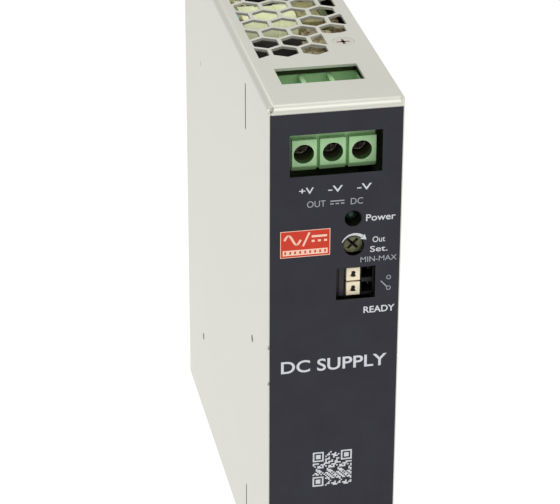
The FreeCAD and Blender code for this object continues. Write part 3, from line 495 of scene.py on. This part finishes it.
def toroid(name, node, centre, outer, inner, thick, turns, wire, enamel):
    """A ring core with its axis along X, wound with two runs of enamelled wire."""
    core_steps, chamfer = 48, 0.75
    centre = Vector(centre)
    middle, half, edge = (outer + inner) / 2, (outer - inner) / 2 - wire, thick / 2 - wire
    rings = []
    for i in range(core_steps):
        radial = Vector((0, math.cos(TURN * i / core_steps), math.sin(TURN * i / core_steps)))
        ring = []
        for sx, sr in ((1, 1), (-1, 1), (-1, -1), (1, -1)):
            corner = ((chamfer, 1), (1, chamfer))
            for along, out in corner if sx * sr > 0 else corner[::-1]:
                ring.append(centre + Vector((sx * edge * along, 0, 0))
                            + radial * (middle + sr * half * out))
        rings.append(ring)
    rings.append(rings[0])
    piece(name + "_core", Pile().rows(rings, caps=False), "ferrite", (node,))
    # each loop is nearly square, because it hugs the core's section
    loop_steps, gap, hug, squareness = 16, 0.22, 0.86, 0.8
    coil, steps = Pile(), turns * loop_steps
    for run in (0, 1):
        path = []
        for i in range(steps + 1):
            a = math.pi * run + gap + (math.pi - 2 * gap) * i / steps
            b = TURN * i / loop_steps
            fold = hug / max(abs(math.cos(b)), abs(math.sin(b))) ** squareness
            radial = Vector((0, math.cos(a), math.sin(a)))
            path.append(centre + radial * (middle + (half + wire / 2) * fold * math.cos(b))
                        + Vector(((edge + wire / 2) * fold * math.sin(b), 0, 0)))
        coil.tube(path, wire / 2, 6)
    piece(name + "_wire", coil, "choke_copper", (node,), enamel)


def chokes():
    """The two ring chokes; a deeper box leaves room for a base under the ring."""
    hole, deepest, inset, rounding = 0.42, 9.0, 1, 0.5
    for name, node, turns, wire, enamel in (
            ("line_choke_ring", "line_choke", 15, 0.9, None),
            ("output_choke_ring", "output_choke", 11, 1.1, "tape_yellow")):
        low, high = box_of(node)
        outer, thick = (high.z - low.z) / 2, min(high.x - low.x, deepest)
        centre = (low.x + thick / 2, (low.y + high.y) / 2, (low.z + high.z) / 2)
        toroid(name, node, centre, outer, outer * hole, thick, turns, wire, enamel)
        if high.x - low.x > thick:
            base = Pile().box((low.x + thick, low.y + inset, low.z + inset),
                              (high.x, high.y - inset, high.z - inset), rounding)
            piece(name + "_base", base, "black_plastic", (node,))


def filter_disc():
    """A dipped disc capacitor that lies over the coil, its leads bent behind the core to the
    board."""
    low, high = box_of("line_filter_disc")
    radius, half, fullness = (high.z - low.z) / 2, 1.05, 0.55
    # the disc leans against the coil, a little above the box that stands for it
    lean, lift = 0.85, 0.5
    centre = Vector((low.x + half + lean, low.y + radius, low.z + radius + lift))
    disc = Pile().lathe(dome_profile(radius, half, fullness), centre, (1, 0, 0))
    piece("filter_disc", disc, "disc_blue", ("line_filter_disc",))
    leads, wire, spread, bend = Pile(), 0.24, 1.6, 1.2
    for side in (-1, 1):
        start_y = centre.y + side * spread
        run_y, run_z = high.y - 0.4 + side * wire * 0.4, low.z + 0.65 + side * wire
        path = [(centre.x, start_y, low.z + 1.1), (centre.x, start_y + 0.5, run_z),
                (centre.x, run_y - bend, run_z)]
        path += [(centre.x + bend - bend * math.cos(a), run_y - bend + bend * math.sin(a), run_z)
                 for a in [math.pi / 8 * i for i in (1, 2, 3, 4)]]
        leads.tube(path + [(high.x, run_y, run_z)], wire)
    piece("filter_disc_leads", leads, "contact_tin", ("line_filter_disc",))


def disc_thermistor():
    low, high = box_of("inrush_thermistor")
    fullness = 0.4
    profile = dome_profile((high.z - low.z) / 2, (high.y - low.y) / 2, fullness)
    piece("thermistor_disc", Pile().lathe(profile, (low + high) / 2, (0, 1, 0)),
          "thermistor_green", ("inrush_thermistor",))


def cartridge_fuse():
    """A ceramic barrel between two pressed end caps."""
    low, high = box_of("line_fuse")
    place, up = ((low.x + high.x) / 2, (low.y + high.y) / 2, 0), (0, 0, 1)
    radius, wall, seat, core = (high.x - low.x) / 2, 0.25, 0.4, 1
    tube_radius, bottom, top = radius - wall, low.z + seat, high.z - seat
    barrel = [(core, bottom), (tube_radius, bottom), (tube_radius, top), (core, top)]
    piece("fuse_barrel", Pile().lathe(barrel, place, up), "fuse_ceramic", ("line_fuse",))
    caps, cap, rounding, lip, hub = Pile(), 5.0, 0.3, 0.15, 0.5
    for end, way in ((low.z, 1), (high.z, -1)):
        mouth = end + way * (cap + lip)
        caps.lathe([(hub, end), (radius - rounding, end), (radius, end + way * rounding),
                    (radius, end + way * cap), (radius - 0.2, mouth), (hub, mouth)], place, up)
    piece("fuse_caps", caps, "contact_tin", ("line_fuse",))


def moulded_boxes():
    """The relay and the film capacitor: boxes with rounded edges, a rim near the foot and four
    stand-offs."""
    draft, foot, rim_start, rim_end, stand, pad = 0.05, 0.9, 1.2, 0.5, 0.6, 1
    for name, node in (("relay_case", "ready_relay"), ("line_capacitor_case", "line_capacitor")):
        low, high = box_of(node)
        shape = Pile().box(low + Vector((0, draft, draft)), high - Vector((foot, draft, draft)),
                           0.6, 3)
        shape.box((high.x - rim_start, low.y, low.z), (high.x - rim_end, high.y, high.z), 0.15)
        for y in (low.y + stand, high.y - stand - pad):
            for z in (low.z + stand, high.z - stand - pad):
                shape.box((high.x - stand, y, z), (high.x, y + pad, z + pad), 0.1)
        piece(name, shape, "box_grey", (node,))


def coil_spring():
    """The latch's compression spring, with closed ends."""
    low, high = box_of("latch_spring")
    wire, turns, steps, travel = 0.5, 8, 20, 4.5
    # the first and last turns lie nearly flat
    end_turns, end_pitch, gap = 0.9, wire * 0.35, wire * 0.3
    radius = (high.x - low.x) / 2 - wire / 2
    x, y = (low.x + high.x) / 2, (low.y + high.y) / 2
    bottom, top = low.z + wire / 2, high.z - wire / 2
    path = []
    for i in range(turns * steps + 1):
        turn = i / steps
        rise = min(max((turn - end_turns) / (turns - 2 * end_turns), 0), 1)
        flat = end_pitch * (min(turn, end_turns) - end_turns + max(turn - turns + end_turns, 0))
        z = bottom + gap + rise * (top - bottom - 2 * gap) + flat
        path.append((x + radius * math.cos(TURN * turn), y + radius * math.sin(TURN * turn),
                     min(max(z, bottom), top)))
    coil = piece("latch_coil", Pile().tube(path, wire / 2, 10), "spring_steel", ("latch_spring",))
    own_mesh(coil)


# ---- small parts on the boards
CHIP_SIZES = ((2.0, 1.25, 0.6), (1.6, 0.8, 0.45), (3.2, 1.6, 0.7), (1.6, 0.8, 0.8))


def free_of(spot, half, kept, gap=0.4):
    """True if a part centred at spot keeps a gap to every kept box."""
    return not any(all(low[i] - gap < spot[i] + half[i] and spot[i] - half[i] < high[i] + gap
                       for i in range(3)) for low, high in kept)


def board_parts(name, axis, face, side, across, up, count, taken, seed):
    """Chip parts on one face of a board: bodies and their tinned ends, clear of the boxes
    already taken. Axis is the board's thin one, and side the way the face looks along it."""
    draw = random.Random(seed)
    body_share, cap_share, cap_height = 0.72, 0.2, 0.96
    others = [i for i in range(3) if i != axis]
    kept, bodies, ends = list(taken), Pile(), Pile()
    placed = tries = 0
    while placed < count and tries < count * 40:
        tries += 1
        long, wide, high = draw.choice(CHIP_SIZES)
        turned = draw.random() < 0.5
        spot, half = Vector(), Vector()
        spot[axis], half[axis] = face + side * high / 2, high / 2
        spot[others[0]], spot[others[1]] = draw.uniform(*across), draw.uniform(*up)
        run, rest = others[::-1] if turned else others
        half[run], half[rest] = long / 2, wide / 2
        if not free_of(spot, half, kept):
            continue
        kept.append((spot - half, spot + half))
        body = half.copy()
        body[run] *= body_share
        bodies.box(spot - body, spot + body, 0.06, 1)
        for way in (-1, 1):
            cap, centre = half * cap_height, spot.copy()
            cap[run] = half[run] * cap_share
            centre[run] += way * half[run] * (1 - cap_share)
            ends.box(centre - cap, centre + cap, 0.05, 1)
        placed += 1
    piece(name + "_bodies", bodies, "package_black")
    piece(name + "_ends", ends, "contact_tin")


def room_taken():
    """Boxes that chip parts keep clear of: the compact nodes' own, and one round each post."""
    # these nodes' boxes hold far more room than the nodes fill
    spread = ("housing_shell", "side_cover", "main_board", "front_board", "signal_board",
              "insulation_film", "latch_spring", "board_screws", "board_standoffs",
              "board_headers", "rivets", "cover_screws", "power_transistors", "latch_keepers")
    taken = [box_of(node) for node in frame["nodes"] if node not in spread]
    low, high = box_of("board_standoffs")
    post, reach, tall = 2.5, 3.4, 14
    for y in (low.y + post, high.y - post):
        for z in (low.z + post, high.z - post):
            taken.append((Vector((0, y - reach, z - reach)), Vector((tall, y + reach, z + reach))))
    return taken


def dress_boards():
    """Chip parts on the boards and solder on the back of the main board."""
    taken = room_taken()
    low, high = box_of("main_board")
    # bottom, top and number of parts
    stretches = ((low.z + 2, -8, 34), (0, 30, 22), (28, high.z - 1.4, 44))
    for i, (bottom, top, count) in enumerate(stretches):
        board_parts(f"main_board_parts_{i + 1}", axis=0, face=low.x, side=-1,
                    across=(low.y + 4, high.y - 3), up=(bottom, top), count=count, taken=taken,
                    seed=SEED + i)
    fillets, count, margin = Pile(), 70, 6
    draw = random.Random(SEED + 11)
    profile = [(0.1, 0), (0.95, 0), (0.6, 0.3), (0.38, 0.8), (0.3, 1.3), (0.1, 1.35)]
    for _ in range(count):
        y = draw.uniform(low.y + margin, high.y - margin)
        z = draw.uniform(low.z + margin, high.z - margin)
        fillets.lathe(profile, (high.x, y, z), (1, 0, 0), 14)
    piece("solder_fillets", fillets, "contact_tin")
    low = box_of("front_board")[0]
    headers_left = box_of("board_headers")[0].x
    board_parts("front_board_parts", axis=1, face=low.y, side=-1,
                across=(low.x + 2, headers_left - 1), up=(-40, 8), count=26, taken=taken,
                seed=SEED + 7)


def film_capacitors():
    """Two dipped film capacitors beside the output cans, with leads to the main board."""
    cans_low, cans_high = box_of("output_capacitors")
    board = box_of("main_board")[0].x
    rounding, wire, lead_inset, drop, bend = 1.1, 0.3, 1.2, 1.6, board - 2.2
    # distances of both faces from the board, front and back, bottom and top
    spots = (((6.4, 0.6), (cans_high.y + 0.8, cans_high.y + 4.6), (50.1, 58.6)),
             ((10.2, 0.3), (cans_low.y - 6.6, cans_low.y + 0.4), (51.6, 60.9)))
    for i, ((outer, inner), (front, back), (bottom, top)) in enumerate(spots):
        shape = Pile().box((board - outer, front, bottom), (board - inner, back, top), rounding, 3)
        for y in (front + lead_inset, back - lead_inset):
            shape.tube([(bend, y, bottom + 0.6), (bend, y, bottom - drop),
                        (board, y, bottom - drop)], wire)
        piece(f"film_dip_{i + 1}", shape, "package_black", look="dip_tan")


def can_adhesive(draw):
    """Drops of adhesive over the top can, flattened under the case."""
    cans_low, cans_high = box_of("output_capacitors")
    board = box_of("main_board")[0].x
    glue, drops, ceiling = Pile(), 26, 60.8
    for _ in range(drops):
        middle = Vector((draw.uniform(board - 6.0, board - 1.2),
                         draw.uniform(cans_low.y + 1.2, cans_high.y - 3.2),
                         draw.uniform(59.0, 59.6)))
        size = draw.uniform(0.7, 1.2)
        profile = [(radius, min(height, ceiling - middle.z))
                   for radius, height in dome_profile(size + POLE, size, 1, 8)]
        glue.lathe(profile, middle, (0, 0, 1), 14)
    piece("can_adhesive", glue, "package_black", look="dip_tan")


def edge_parts(draw):
    """A row of small dipped parts along the upper edge of the main board."""
    board, edge = box_of("main_board")[0].x, box_of("main_board")[1].z
    first, pitch, count = box_of("output_capacitors")[0].y - 2.5, 2.3, 9
    chips = Pile()
    for i in range(count):
        y = first + i * pitch
        wide = draw.uniform(0.7, 1.3)
        chips.box((board + draw.uniform(0.1, 0.5), y - wide / 2, edge + 0.05),
                  (board + draw.uniform(2.2, 3.3), y + wide / 2, edge + draw.uniform(0.9, 2.0)),
                  0.15, 2)
    piece("edge_parts", chips, "package_black", look="dip_tan")


def lead_sleeves():
    """Sleeved leads from the transformer's coil to the main board."""
    corner, board = box_of("transformer_winding")[1], box_of("main_board")[0].x
    sleeves, radius, sway = Pile(), 0.62, 0.3
    for inset, height in ((8.0, 57.6), (5.2, 56.4), (2.6, 57.2)):
        y = corner.y - inset
        sleeves.tube([(corner.x - 0.5, y, height), (corner.x + 2.2, y, height),
                      (corner.x + 3.6, y + sway, height - 0.7), (board, y + sway, height - 1.6)],
                     radius, 10)
    piece("lead_sleeves", sleeves, "package_black", look="dip_tan")


def small_film_parts():
    """Dipped and sleeved parts round the output cans and the transformer."""
    draw = random.Random(SEED + 23)
    film_capacitors()
    can_adhesive(draw)
    edge_parts(draw)
    lead_sleeves()


# ---- details of the outside
def terminal_wells():
    """Dark liners in the bores over the terminal screws, painted shade, with lighter rims round
    them and a brighter bead at each screw head's edge, both painted highlight; the bead turns with
    the screw."""
    bore, wall, start, mouth, overlap = 2.25, 0.05, 0.3, 2.0, 1.6
    inwards, steps = (0, 1, 0), 48
    for block in ("output", "input"):
        front = box_of(block + "_terminal_block")[0].y
        wells, mouths, rims = Pile(), Pile(), Pile()
        for i in (1, 2, 3):
            low, high = box_of(f"{block}_screw_{i}")
            middle = ((low.x + high.x) / 2, 0, (low.z + high.z) / 2)
            for pile, near, far in ((mouths, front + start, front + mouth),
                                    (wells, front + mouth, low.y + overlap)):
                sleeve = [(bore - wall, near), (bore, near), (bore, far), (bore - wall, far),
                          (bore - wall, near)]
                pile.lathe(sleeve, middle, inwards, steps, caps=False)
            # each rim is a painted highlight round its bore
            rims.lathe(bead_profile(bore + 0.08, front + 0.03, 0.1), middle, inwards, steps,
                       caps=False)
            # the bead's brighter steel is a painted highlight
            edge = bead_profile((high.x - low.x) / 2 - 0.16, low.y + 0.09, 0.15)
            piece(f"{block}_screw_edge_highlight_{i}",
                  Pile().lathe(edge, middle, inwards, caps=False), "zinc_steel",
                  look="screw_edge_highlight", body=f"{block}_screw_{i}")
        piece(block + "_well_rims", rims, "terminal_green", look="rim_highlight")
        piece(block + "_wells", wells, "terminal_green", look="well_shade")
        piece(block + "_well_mouths", mouths, "terminal_green", look="well_mouth_shade")


def cover_screw_recesses():
    """A brown fill in the cross recess of each cover screw, painted shade."""
    low, high = box_of("cover_screws")
    x, y = (low.x + high.x) / 2, (low.y + high.y) / 2
    arm, narrow, wide, deep, sunk = 1.5, 0.26, 0.7, 0.5, 0.02
    for name, top, way in (("upper_cross", high.z, 1), ("lower_cross", low.z, -1)):
        shape, base = Pile(), Vector((x, y, top - way * deep))
        lift = Vector((0, 0, way * (deep - sunk)))
        for quarter in range(4):
            a = TURN * quarter / 4
            along = Vector((math.cos(a), math.sin(a), 0))
            across = Vector((-math.sin(a), math.cos(a), 0))
            tip = base + along * arm
            ring = [base - across * wide, tip - across * narrow, tip + across * narrow,
                    base + across * wide]
            shape.rows([ring, [point + lift for point in ring]])
        piece(name, shape, "zinc_steel", look="recess_shade_brown")


def rotor_cross():
    """The shaded floor of the trimmer's cross slot; it turns with the rotor."""
    low, high = box_of("trimmer_rotor")
    middle, reach, half = (low + high) / 2, 1.45, 0.27
    top, floor = low.y + 0.62, low.y + 0.78
    shape = Pile()
    for lean in (1, -1):
        along = Vector((1, 0, lean)).normalized() * reach
        across = Vector((-lean, 0, 1)).normalized() * half
        outline = [middle + along * i + across * j for i, j in ((1, 1), (-1, 1), (-1, -1), (1, -1))]
        shape.rows([[(point.x, y, point.z) for point in outline] for y in (top, floor)])
    # the dark insert paints the slot's shade
    piece("rotor_cross", shape, "rotor_metal", look="notch_shade_dark",
          body="trimmer_rotor")


def button_notches():
    """A dark insert in the driver notch of each release button, painted shade; it moves with the
    button.
    """
    outline = [(-0.85, -0.5), (0.85, -0.6), (0.42, 0.02), (0.72, 0.34), (0.08, 0.86),
               (-0.34, 0.2)]
    left_of_middle, deep = 0.1, 0.6
    for i in (1, 2):
        low, high = box_of(f"release_button_{i}")
        x, z = (low.x + high.x) / 2 - left_of_middle, (low.z + high.z) / 2
        shape = Pile().rows([[(x + dx, y, z + dz) for dx, dz in outline]
                             for y in (low.y, low.y + deep)])
        piece(f"button_notch_{i}", shape, "button_cream", look="notch_shade_dark",
              body=f"release_button_{i}")


def connector_rib():
    """The upright rib left of the release buttons."""
    low, high = box_of("signal_connector")
    left, right, proud, inset = low.x + 0.76, low.x + 1.86, 0.25, 0.3
    shape = Pile().box((left, low.y - proud, low.z + inset),
                       (right, low.y + 0.05, high.z - inset), 0.08)
    piece("connector_rib", shape, "black_plastic", look="rib_grey")


def side_details():
    """Dark flush studs in the side wall's dimples and dark strips on and beside the cut edges of
    its slits, both painted shade, and the folded corners behind the front."""
    wall, front = cad_low.x / MM, box_of("front_label")[1].y
    studs, stud, chamfer, proud, sunk = Pile(), 0.98, 0.08, 0.02, 0.5
    profile = [(POLE, proud), (stud - chamfer, proud), (stud, proud - chamfer), (stud, -sunk),
               (POLE, -sunk)]
    for depth, height in ((87, -38), (18.6, -2.5)):
        studs.lathe(profile, (wall, front + depth, height), (-1, 0, 0), 24)
    piece("side_studs", studs, "case_metal", look="shade_dark_steel")
    slits, depth, half, gauge, shade_strip, skin = Pile(), 26.5, 0.3, 0.6, 0.3, 0.005
    near, far = front + depth - half, front + depth + half
    folds, fold_start, fold_end = Pile(), 0.7, 2.3
    for side in (-1, 1):
        bottom, top = sorted((side * 46.05, side * 56.95))
        slits.box((wall + 0.01, far - 0.08, bottom), (wall + gauge, far - skin, top))
        # a dark strip beside each slit, painted shade
        slits.box((wall - 0.012, near - shade_strip, bottom), (wall + 0.1, near - skin, top))
        bottom, top = sorted((side * 59.9, side * 61.3))
        folds.box((wall + fold_start, front + fold_start, bottom),
                  (wall + fold_end, front + fold_end, top), 0.2)
    piece("slit_edges", slits, "case_metal", look="shade_dark_steel")
    piece("corner_folds", folds, "case_metal")


# ---- print on the front
FRONT = box_of("front_label")[0].y
INK_DEPTH = 0.012


def ink_prisms(name, outlines, colour, layer=0):
    """Closed flat prints. Each outline is a list of (x, z) on the label; a higher layer lies
    over a lower one."""
    shape = Pile()
    front = FRONT - INK_DEPTH * (layer + 1) / 2
    for outline in outlines:
        shape.rows([[(x, y, z) for x, z in outline] for y in (front, FRONT + INK_DEPTH)])
    piece(name, shape, "front_print", look="ink_" + colour)


def bar(x0, x1, z0, z1):
    return [(x0, z0), (x1, z0), (x1, z1), (x0, z1)]


def stroke(points, width):
    """The outline of a line of one width, or of a list of widths, along points."""
    widths = width if isinstance(width, list) else [width] * len(points)
    left, right = [], []
    for i, (x, z) in enumerate(points):
        x0, z0 = points[max(i - 1, 0)]
        x1, z1 = points[min(i + 1, len(points) - 1)]
        length = math.hypot(x1 - x0, z1 - z0)
        nx, nz = -(z1 - z0) / length, (x1 - x0) / length
        left.append((x + nx * widths[i] / 2, z + nz * widths[i] / 2))
        right.append((x - nx * widths[i] / 2, z - nz * widths[i] / 2))
    return left + right[::-1]


def arc(x, z, radius, start, stop, steps):
    """Points on a circle between two angles in degrees."""
    angles = [math.radians(start + (stop - start) * i / steps) for i in range(steps + 1)]
    return [(x + radius * math.cos(a), z + radius * math.sin(a)) for a in angles]


def ring_quads(x, z, radius, width, steps=20):
    """A printed ring, as a fan of outlines."""
    made = []
    for i in range(steps):
        a, b = 360 * i / steps, 360 * (i + 1) / steps
        made.append(arc(x, z, radius + width / 2, a, b, 1)
                    + arc(x, z, radius - width / 2, b, a, 1))
    return made


def words(name, text, left, right, bottom, height, colour="white", weight=0.0):
    """Generic lettering, stretched to lie between left and right with its letters height
    tall."""
    curve = bpy.data.curves.new(name, "FONT")
    curve.body = text
    curve.offset = weight
    curve.resolution_u = 5
    curve.extrude = 0.5
    draft = bpy.data.objects.new(name + "_draft", curve)
    add_object(draft)
    bpy.context.view_layer.update()
    graph = bpy.context.evaluated_depsgraph_get()
    flat = bpy.data.meshes.new_from_object(draft.evaluated_get(graph))
    bpy.data.objects.remove(draft)
    xs = [v.co.x for v in flat.vertices]
    ys = [v.co.y for v in flat.vertices]
    across, up = (right - left) / (max(xs) - min(xs)), height / (max(ys) - min(ys))
    corners = [(left + (v.co.x - min(xs)) * across,
                FRONT - INK_DEPTH / 2 if v.co.z > 0 else FRONT + INK_DEPTH,
                bottom + (v.co.y - min(ys)) * up) for v in flat.vertices]
    shape = Pile().add(corners, [list(face.vertices) for face in flat.polygons])
    bpy.data.meshes.remove(flat)
    piece(name, shape, "front_print", look="ink_" + colour)


def terminal_print():
    """The signs of the output terminals and, below them, the kind of output."""
    pitch, half, left_of_pole = 6.35, 1.6, 0.1
    sign_z, rating_z, tall = 41.5, 38.25, 1.5
    for i, sign in enumerate(("+V", "-V", "-V")):
        x = (i - 1) * pitch - left_of_pole
        words(f"print_terminal_{i + 1}", sign, x - half, x + half, sign_z, tall, weight=0.012)
    words("print_rating_left", "OUT", -6.3, -2.2, rating_z, tall, "grey")
    words("print_rating_right", "DC", 3.3, 6.0, rating_z, tall, "grey")
    left, right, thick, solid_z, dashed_z = -1.2, 1.9, 0.26, rating_z + 1.0, rating_z + 0.35
    dash = (right - left) / 4
    lines = [bar(left, right, solid_z, solid_z + thick)]
    lines += [bar(left + i * 1.5 * dash, left + (i * 1.5 + 1) * dash, dashed_z, dashed_z + thick)
              for i in range(3)]
    ink_prisms("print_direct_current", lines, "grey")


def turn_arrow():
    """A curved arrow over the trimmer that widens towards its head."""
    rotor = middle_of("trimmer_rotor")
    radius, start, stop, steps = 2.85, 158, 48, 18
    thin, growth, point, barb, spread = 0.16, 0.6, 1.1, 0.75, 1.7
    sweep = arc(rotor.x, rotor.z, radius, start, stop, steps)
    widths = [thin + growth * i / steps for i in range(steps + 1)]
    tip_x, tip_z = sweep[-1]
    way = math.radians(stop - 90)
    head = [(tip_x + reach * math.cos(way + turn), tip_z + reach * math.sin(way + turn))
            for reach, turn in ((point, 0), (barb, spread), (barb, -spread))]
    line = [stroke(sweep[i:i + 2], widths[i:i + 2]) for i in range(steps)]
    ink_prisms("print_turn_arrow", line + [head], "white")


def control_print():
    """The words and signs beside the lamp, the trimmer and the signal contact."""
    # left, right, bottom, height, ink, weight
    for name, text, *place in (
            ("print_lamp", "Power", 6.75, 13.3, 33.95, 1.6, "white", 0.012),
            ("print_adjust_1", "Out", 8.3, 11.1, 28.75, 1.4, "white", 0.008),
            ("print_adjust_2", "Set.", 7.8, 11.7, 26.45, 1.4, "white", 0.008),
            ("print_range", "MIN-MAX", 5.7, 13.8, 24.15, 1.25, "grey", 0.004),
            ("print_contact", "READY", 6.6, 13.6, 11.6, 1.6, "white", 0.02)):
        words(name, text, *place)
    turn_arrow()
    x, upper, lower, hole, line = 12.1, 19.95, 17.35, 0.45, 0.16
    symbol = ring_quads(x, upper, hole, line) + ring_quads(x, lower, hole, line)
    symbol.append(stroke([(x - 1.75, upper - 0.75), (x - 0.35, lower + 0.3)], 0.24))
    ink_prisms("print_switch", symbol, "grey")


def badge_print():
    """A generic converter badge: a wave, a slash and the direct current bars over a graduated
    strip."""
    left, right, bottom, top, rim = -12.1, -1.1, 26.65, 33.0, 0.14
    ink_prisms("badge_field", [bar(left, right, bottom, top)], "red")
    sides = [bar(left, right, bottom, bottom + rim), bar(left, right, top - rim, top),
             bar(left, left + rim, bottom + rim, top - rim),
             bar(right - rim, right, bottom + rim, top - rim)]
    ink_prisms("badge_rim", sides, "cream", 1)
    middle, half, steps = bottom + 4.15, 1.1, 20
    wave_left, wave_long, wave_thick = left + 0.9, 3.6, 0.48
    wave = [(wave_left + wave_long * i / steps, middle + half * math.sin(TURN * i / steps))
            for i in range(steps + 1)]
    marks = [stroke(wave[i:i + 2], wave_thick) for i in range(steps)]
    marks.append(stroke([(left + 5.0, middle - 1.6), (left + 6.4, middle + 1.6)], 0.42))
    bars_left, bars_right, thick, offset = left + 6.9, right - 0.7, 0.5, 0.35
    marks.append(bar(bars_left, bars_right, middle + offset, middle + offset + thick))
    step, dash_z = (bars_right - bars_left) / 5, middle - 0.75
    marks += [bar(bars_left + 2 * i * step, bars_left + (2 * i + 1) * step, dash_z, dash_z + thick)
              for i in range(3)]
    ink_prisms("badge_symbol", marks, "cream", 1)
    inset, low, high = 0.55, bottom + 0.5, bottom + 1.75
    ink_prisms("badge_strip", [bar(left + inset, right - inset, low, high)], "cream", 1)
    ticks, gap, margin = 9, 0.32, 0.3
    pitch = (right - left - 2 * inset) / ticks
    ink_prisms("badge_ticks", [bar(left + inset + (i + gap) * pitch,
                                   left + inset + (i + 1 - gap) * pitch,
                                   low + margin, high - margin) for i in range(ticks)], "red", 2)


def code_print():
    """A square of formula-made dots with three corner marks. It holds no data."""
    left, right, bottom, count, row_gap = -4.4, 4.6, -31.85, 25, 0.02
    cell = (right - left) / count

    def lit(column, row):
        for c, r in ((3, 3), (3, count - 4), (count - 4, count - 4)):
            reach = max(abs(column - c), abs(row - r))
            if reach <= 4:
                return reach in (0, 1, 3)
        return (column * column * 5 + row * 7 + column * row * 3 + row // 3) % 7 in (0, 2, 5)

    dots = []
    for row in range(count):
        column = 0
        while column < count:
            start = column
            while column < count and lit(column, row):
                column += 1
            if column > start:
                dots.append(bar(left + start * cell, left + column * cell,
                                bottom + (row + row_gap) * cell,
                                bottom + (row + 1 - row_gap) * cell))
            column += 1
    ink_prisms("print_code_square", dots, "white")


def front_print():
    terminal_print()
    control_print()
    badge_print()
    words("print_title", "DC SUPPLY", -11.8, 12.1, -1.9, 3.05, weight=0.014)
    code_print()


# ---- stage, light and camera
def add_stage():
    """A plain pale floor under the object, which hangs clear of it. Places are in metres."""
    floor = bpy.data.objects.new("floor", bpy.data.meshes.new("floor"))
    reach, clearance = 6.0, 0.1
    height = cad_low.z - clearance
    floor.data.from_pydata([(x * reach, y * reach, height)
                            for x, y in ((-1, -1), (1, -1), (1, 1), (-1, 1))], [], [(0, 1, 2, 3)])
    floor.data.materials.append(
        surface("floor_paint", (252, 252, 252), 0.9, 0, 0.004, 300, 60, 0.01, glow=0.18))
    add_object(floor)


def aimed(name, data, place, aim):
    """An object that looks from place at aim, both in metres."""
    holder = bpy.data.objects.new(name, data)
    holder.location = place
    holder.rotation_mode = "QUATERNION"
    holder.rotation_quaternion = (Vector(aim) - Vector(place)).to_track_quat("-Z", "Y")
    add_object(holder)
    return holder


def area_light(name, place, size, power):
    lamp = bpy.data.lights.new(name, "AREA")
    lamp.shape = "RECTANGLE"
    lamp.size, lamp.size_y = size
    lamp.energy = power
    aimed(name, lamp, place, (0, -0.05, 0))


def add_light():
    """Soft even light from all round, with one panel above and one high in front."""
    world = bpy.data.worlds.new("studio")
    world.use_nodes = True
    sky = world.node_tree.nodes["Background"]
    sky.inputs["Color"].default_value = (1, 1, 1, 1)
    sky.inputs["Strength"].default_value = 0.64
    bpy.context.scene.world = world
    area_light("overhead", (-0.15, 0.3, 0.95), (0.9, 0.9), 2.5)
    area_light("high_front", (0.2, -1.0, 1.0), (2.0, 0.9), 7.0)


def add_camera():
    place, aim = Vector((-103.8, -569.8, 258.5)) * MM, Vector((-12.10, -111.5, 28.19)) * MM
    data = bpy.data.cameras.new("camera")
    data.lens = 155.5
    data.sensor_width = 36
    holder = aimed("camera", data, place, aim)
    roll = Matrix.Rotation(math.radians(-0.23), 3, aim - place).to_quaternion()
    holder.rotation_quaternion = roll @ holder.rotation_quaternion
    bpy.context.scene.camera = holder
    bpy.context.scene.view_settings.view_transform = "Standard"


finish_nodes()
output_cans()
bulk_can()
taped_winding("transformer_tape", "transformer_winding", 4.0, 3)
taped_winding("pfc_choke_tape", "pfc_choke_winding", 4.0, 3)
chokes()
filter_disc()
disc_thermistor()
cartridge_fuse()
moulded_boxes()
coil_spring()
small_film_parts()
terminal_wells()
cover_screw_recesses()
rotor_cross()
button_notches()
connector_rib()
side_details()
dress_boards()
front_print()
add_stage()
add_light()
add_camera()
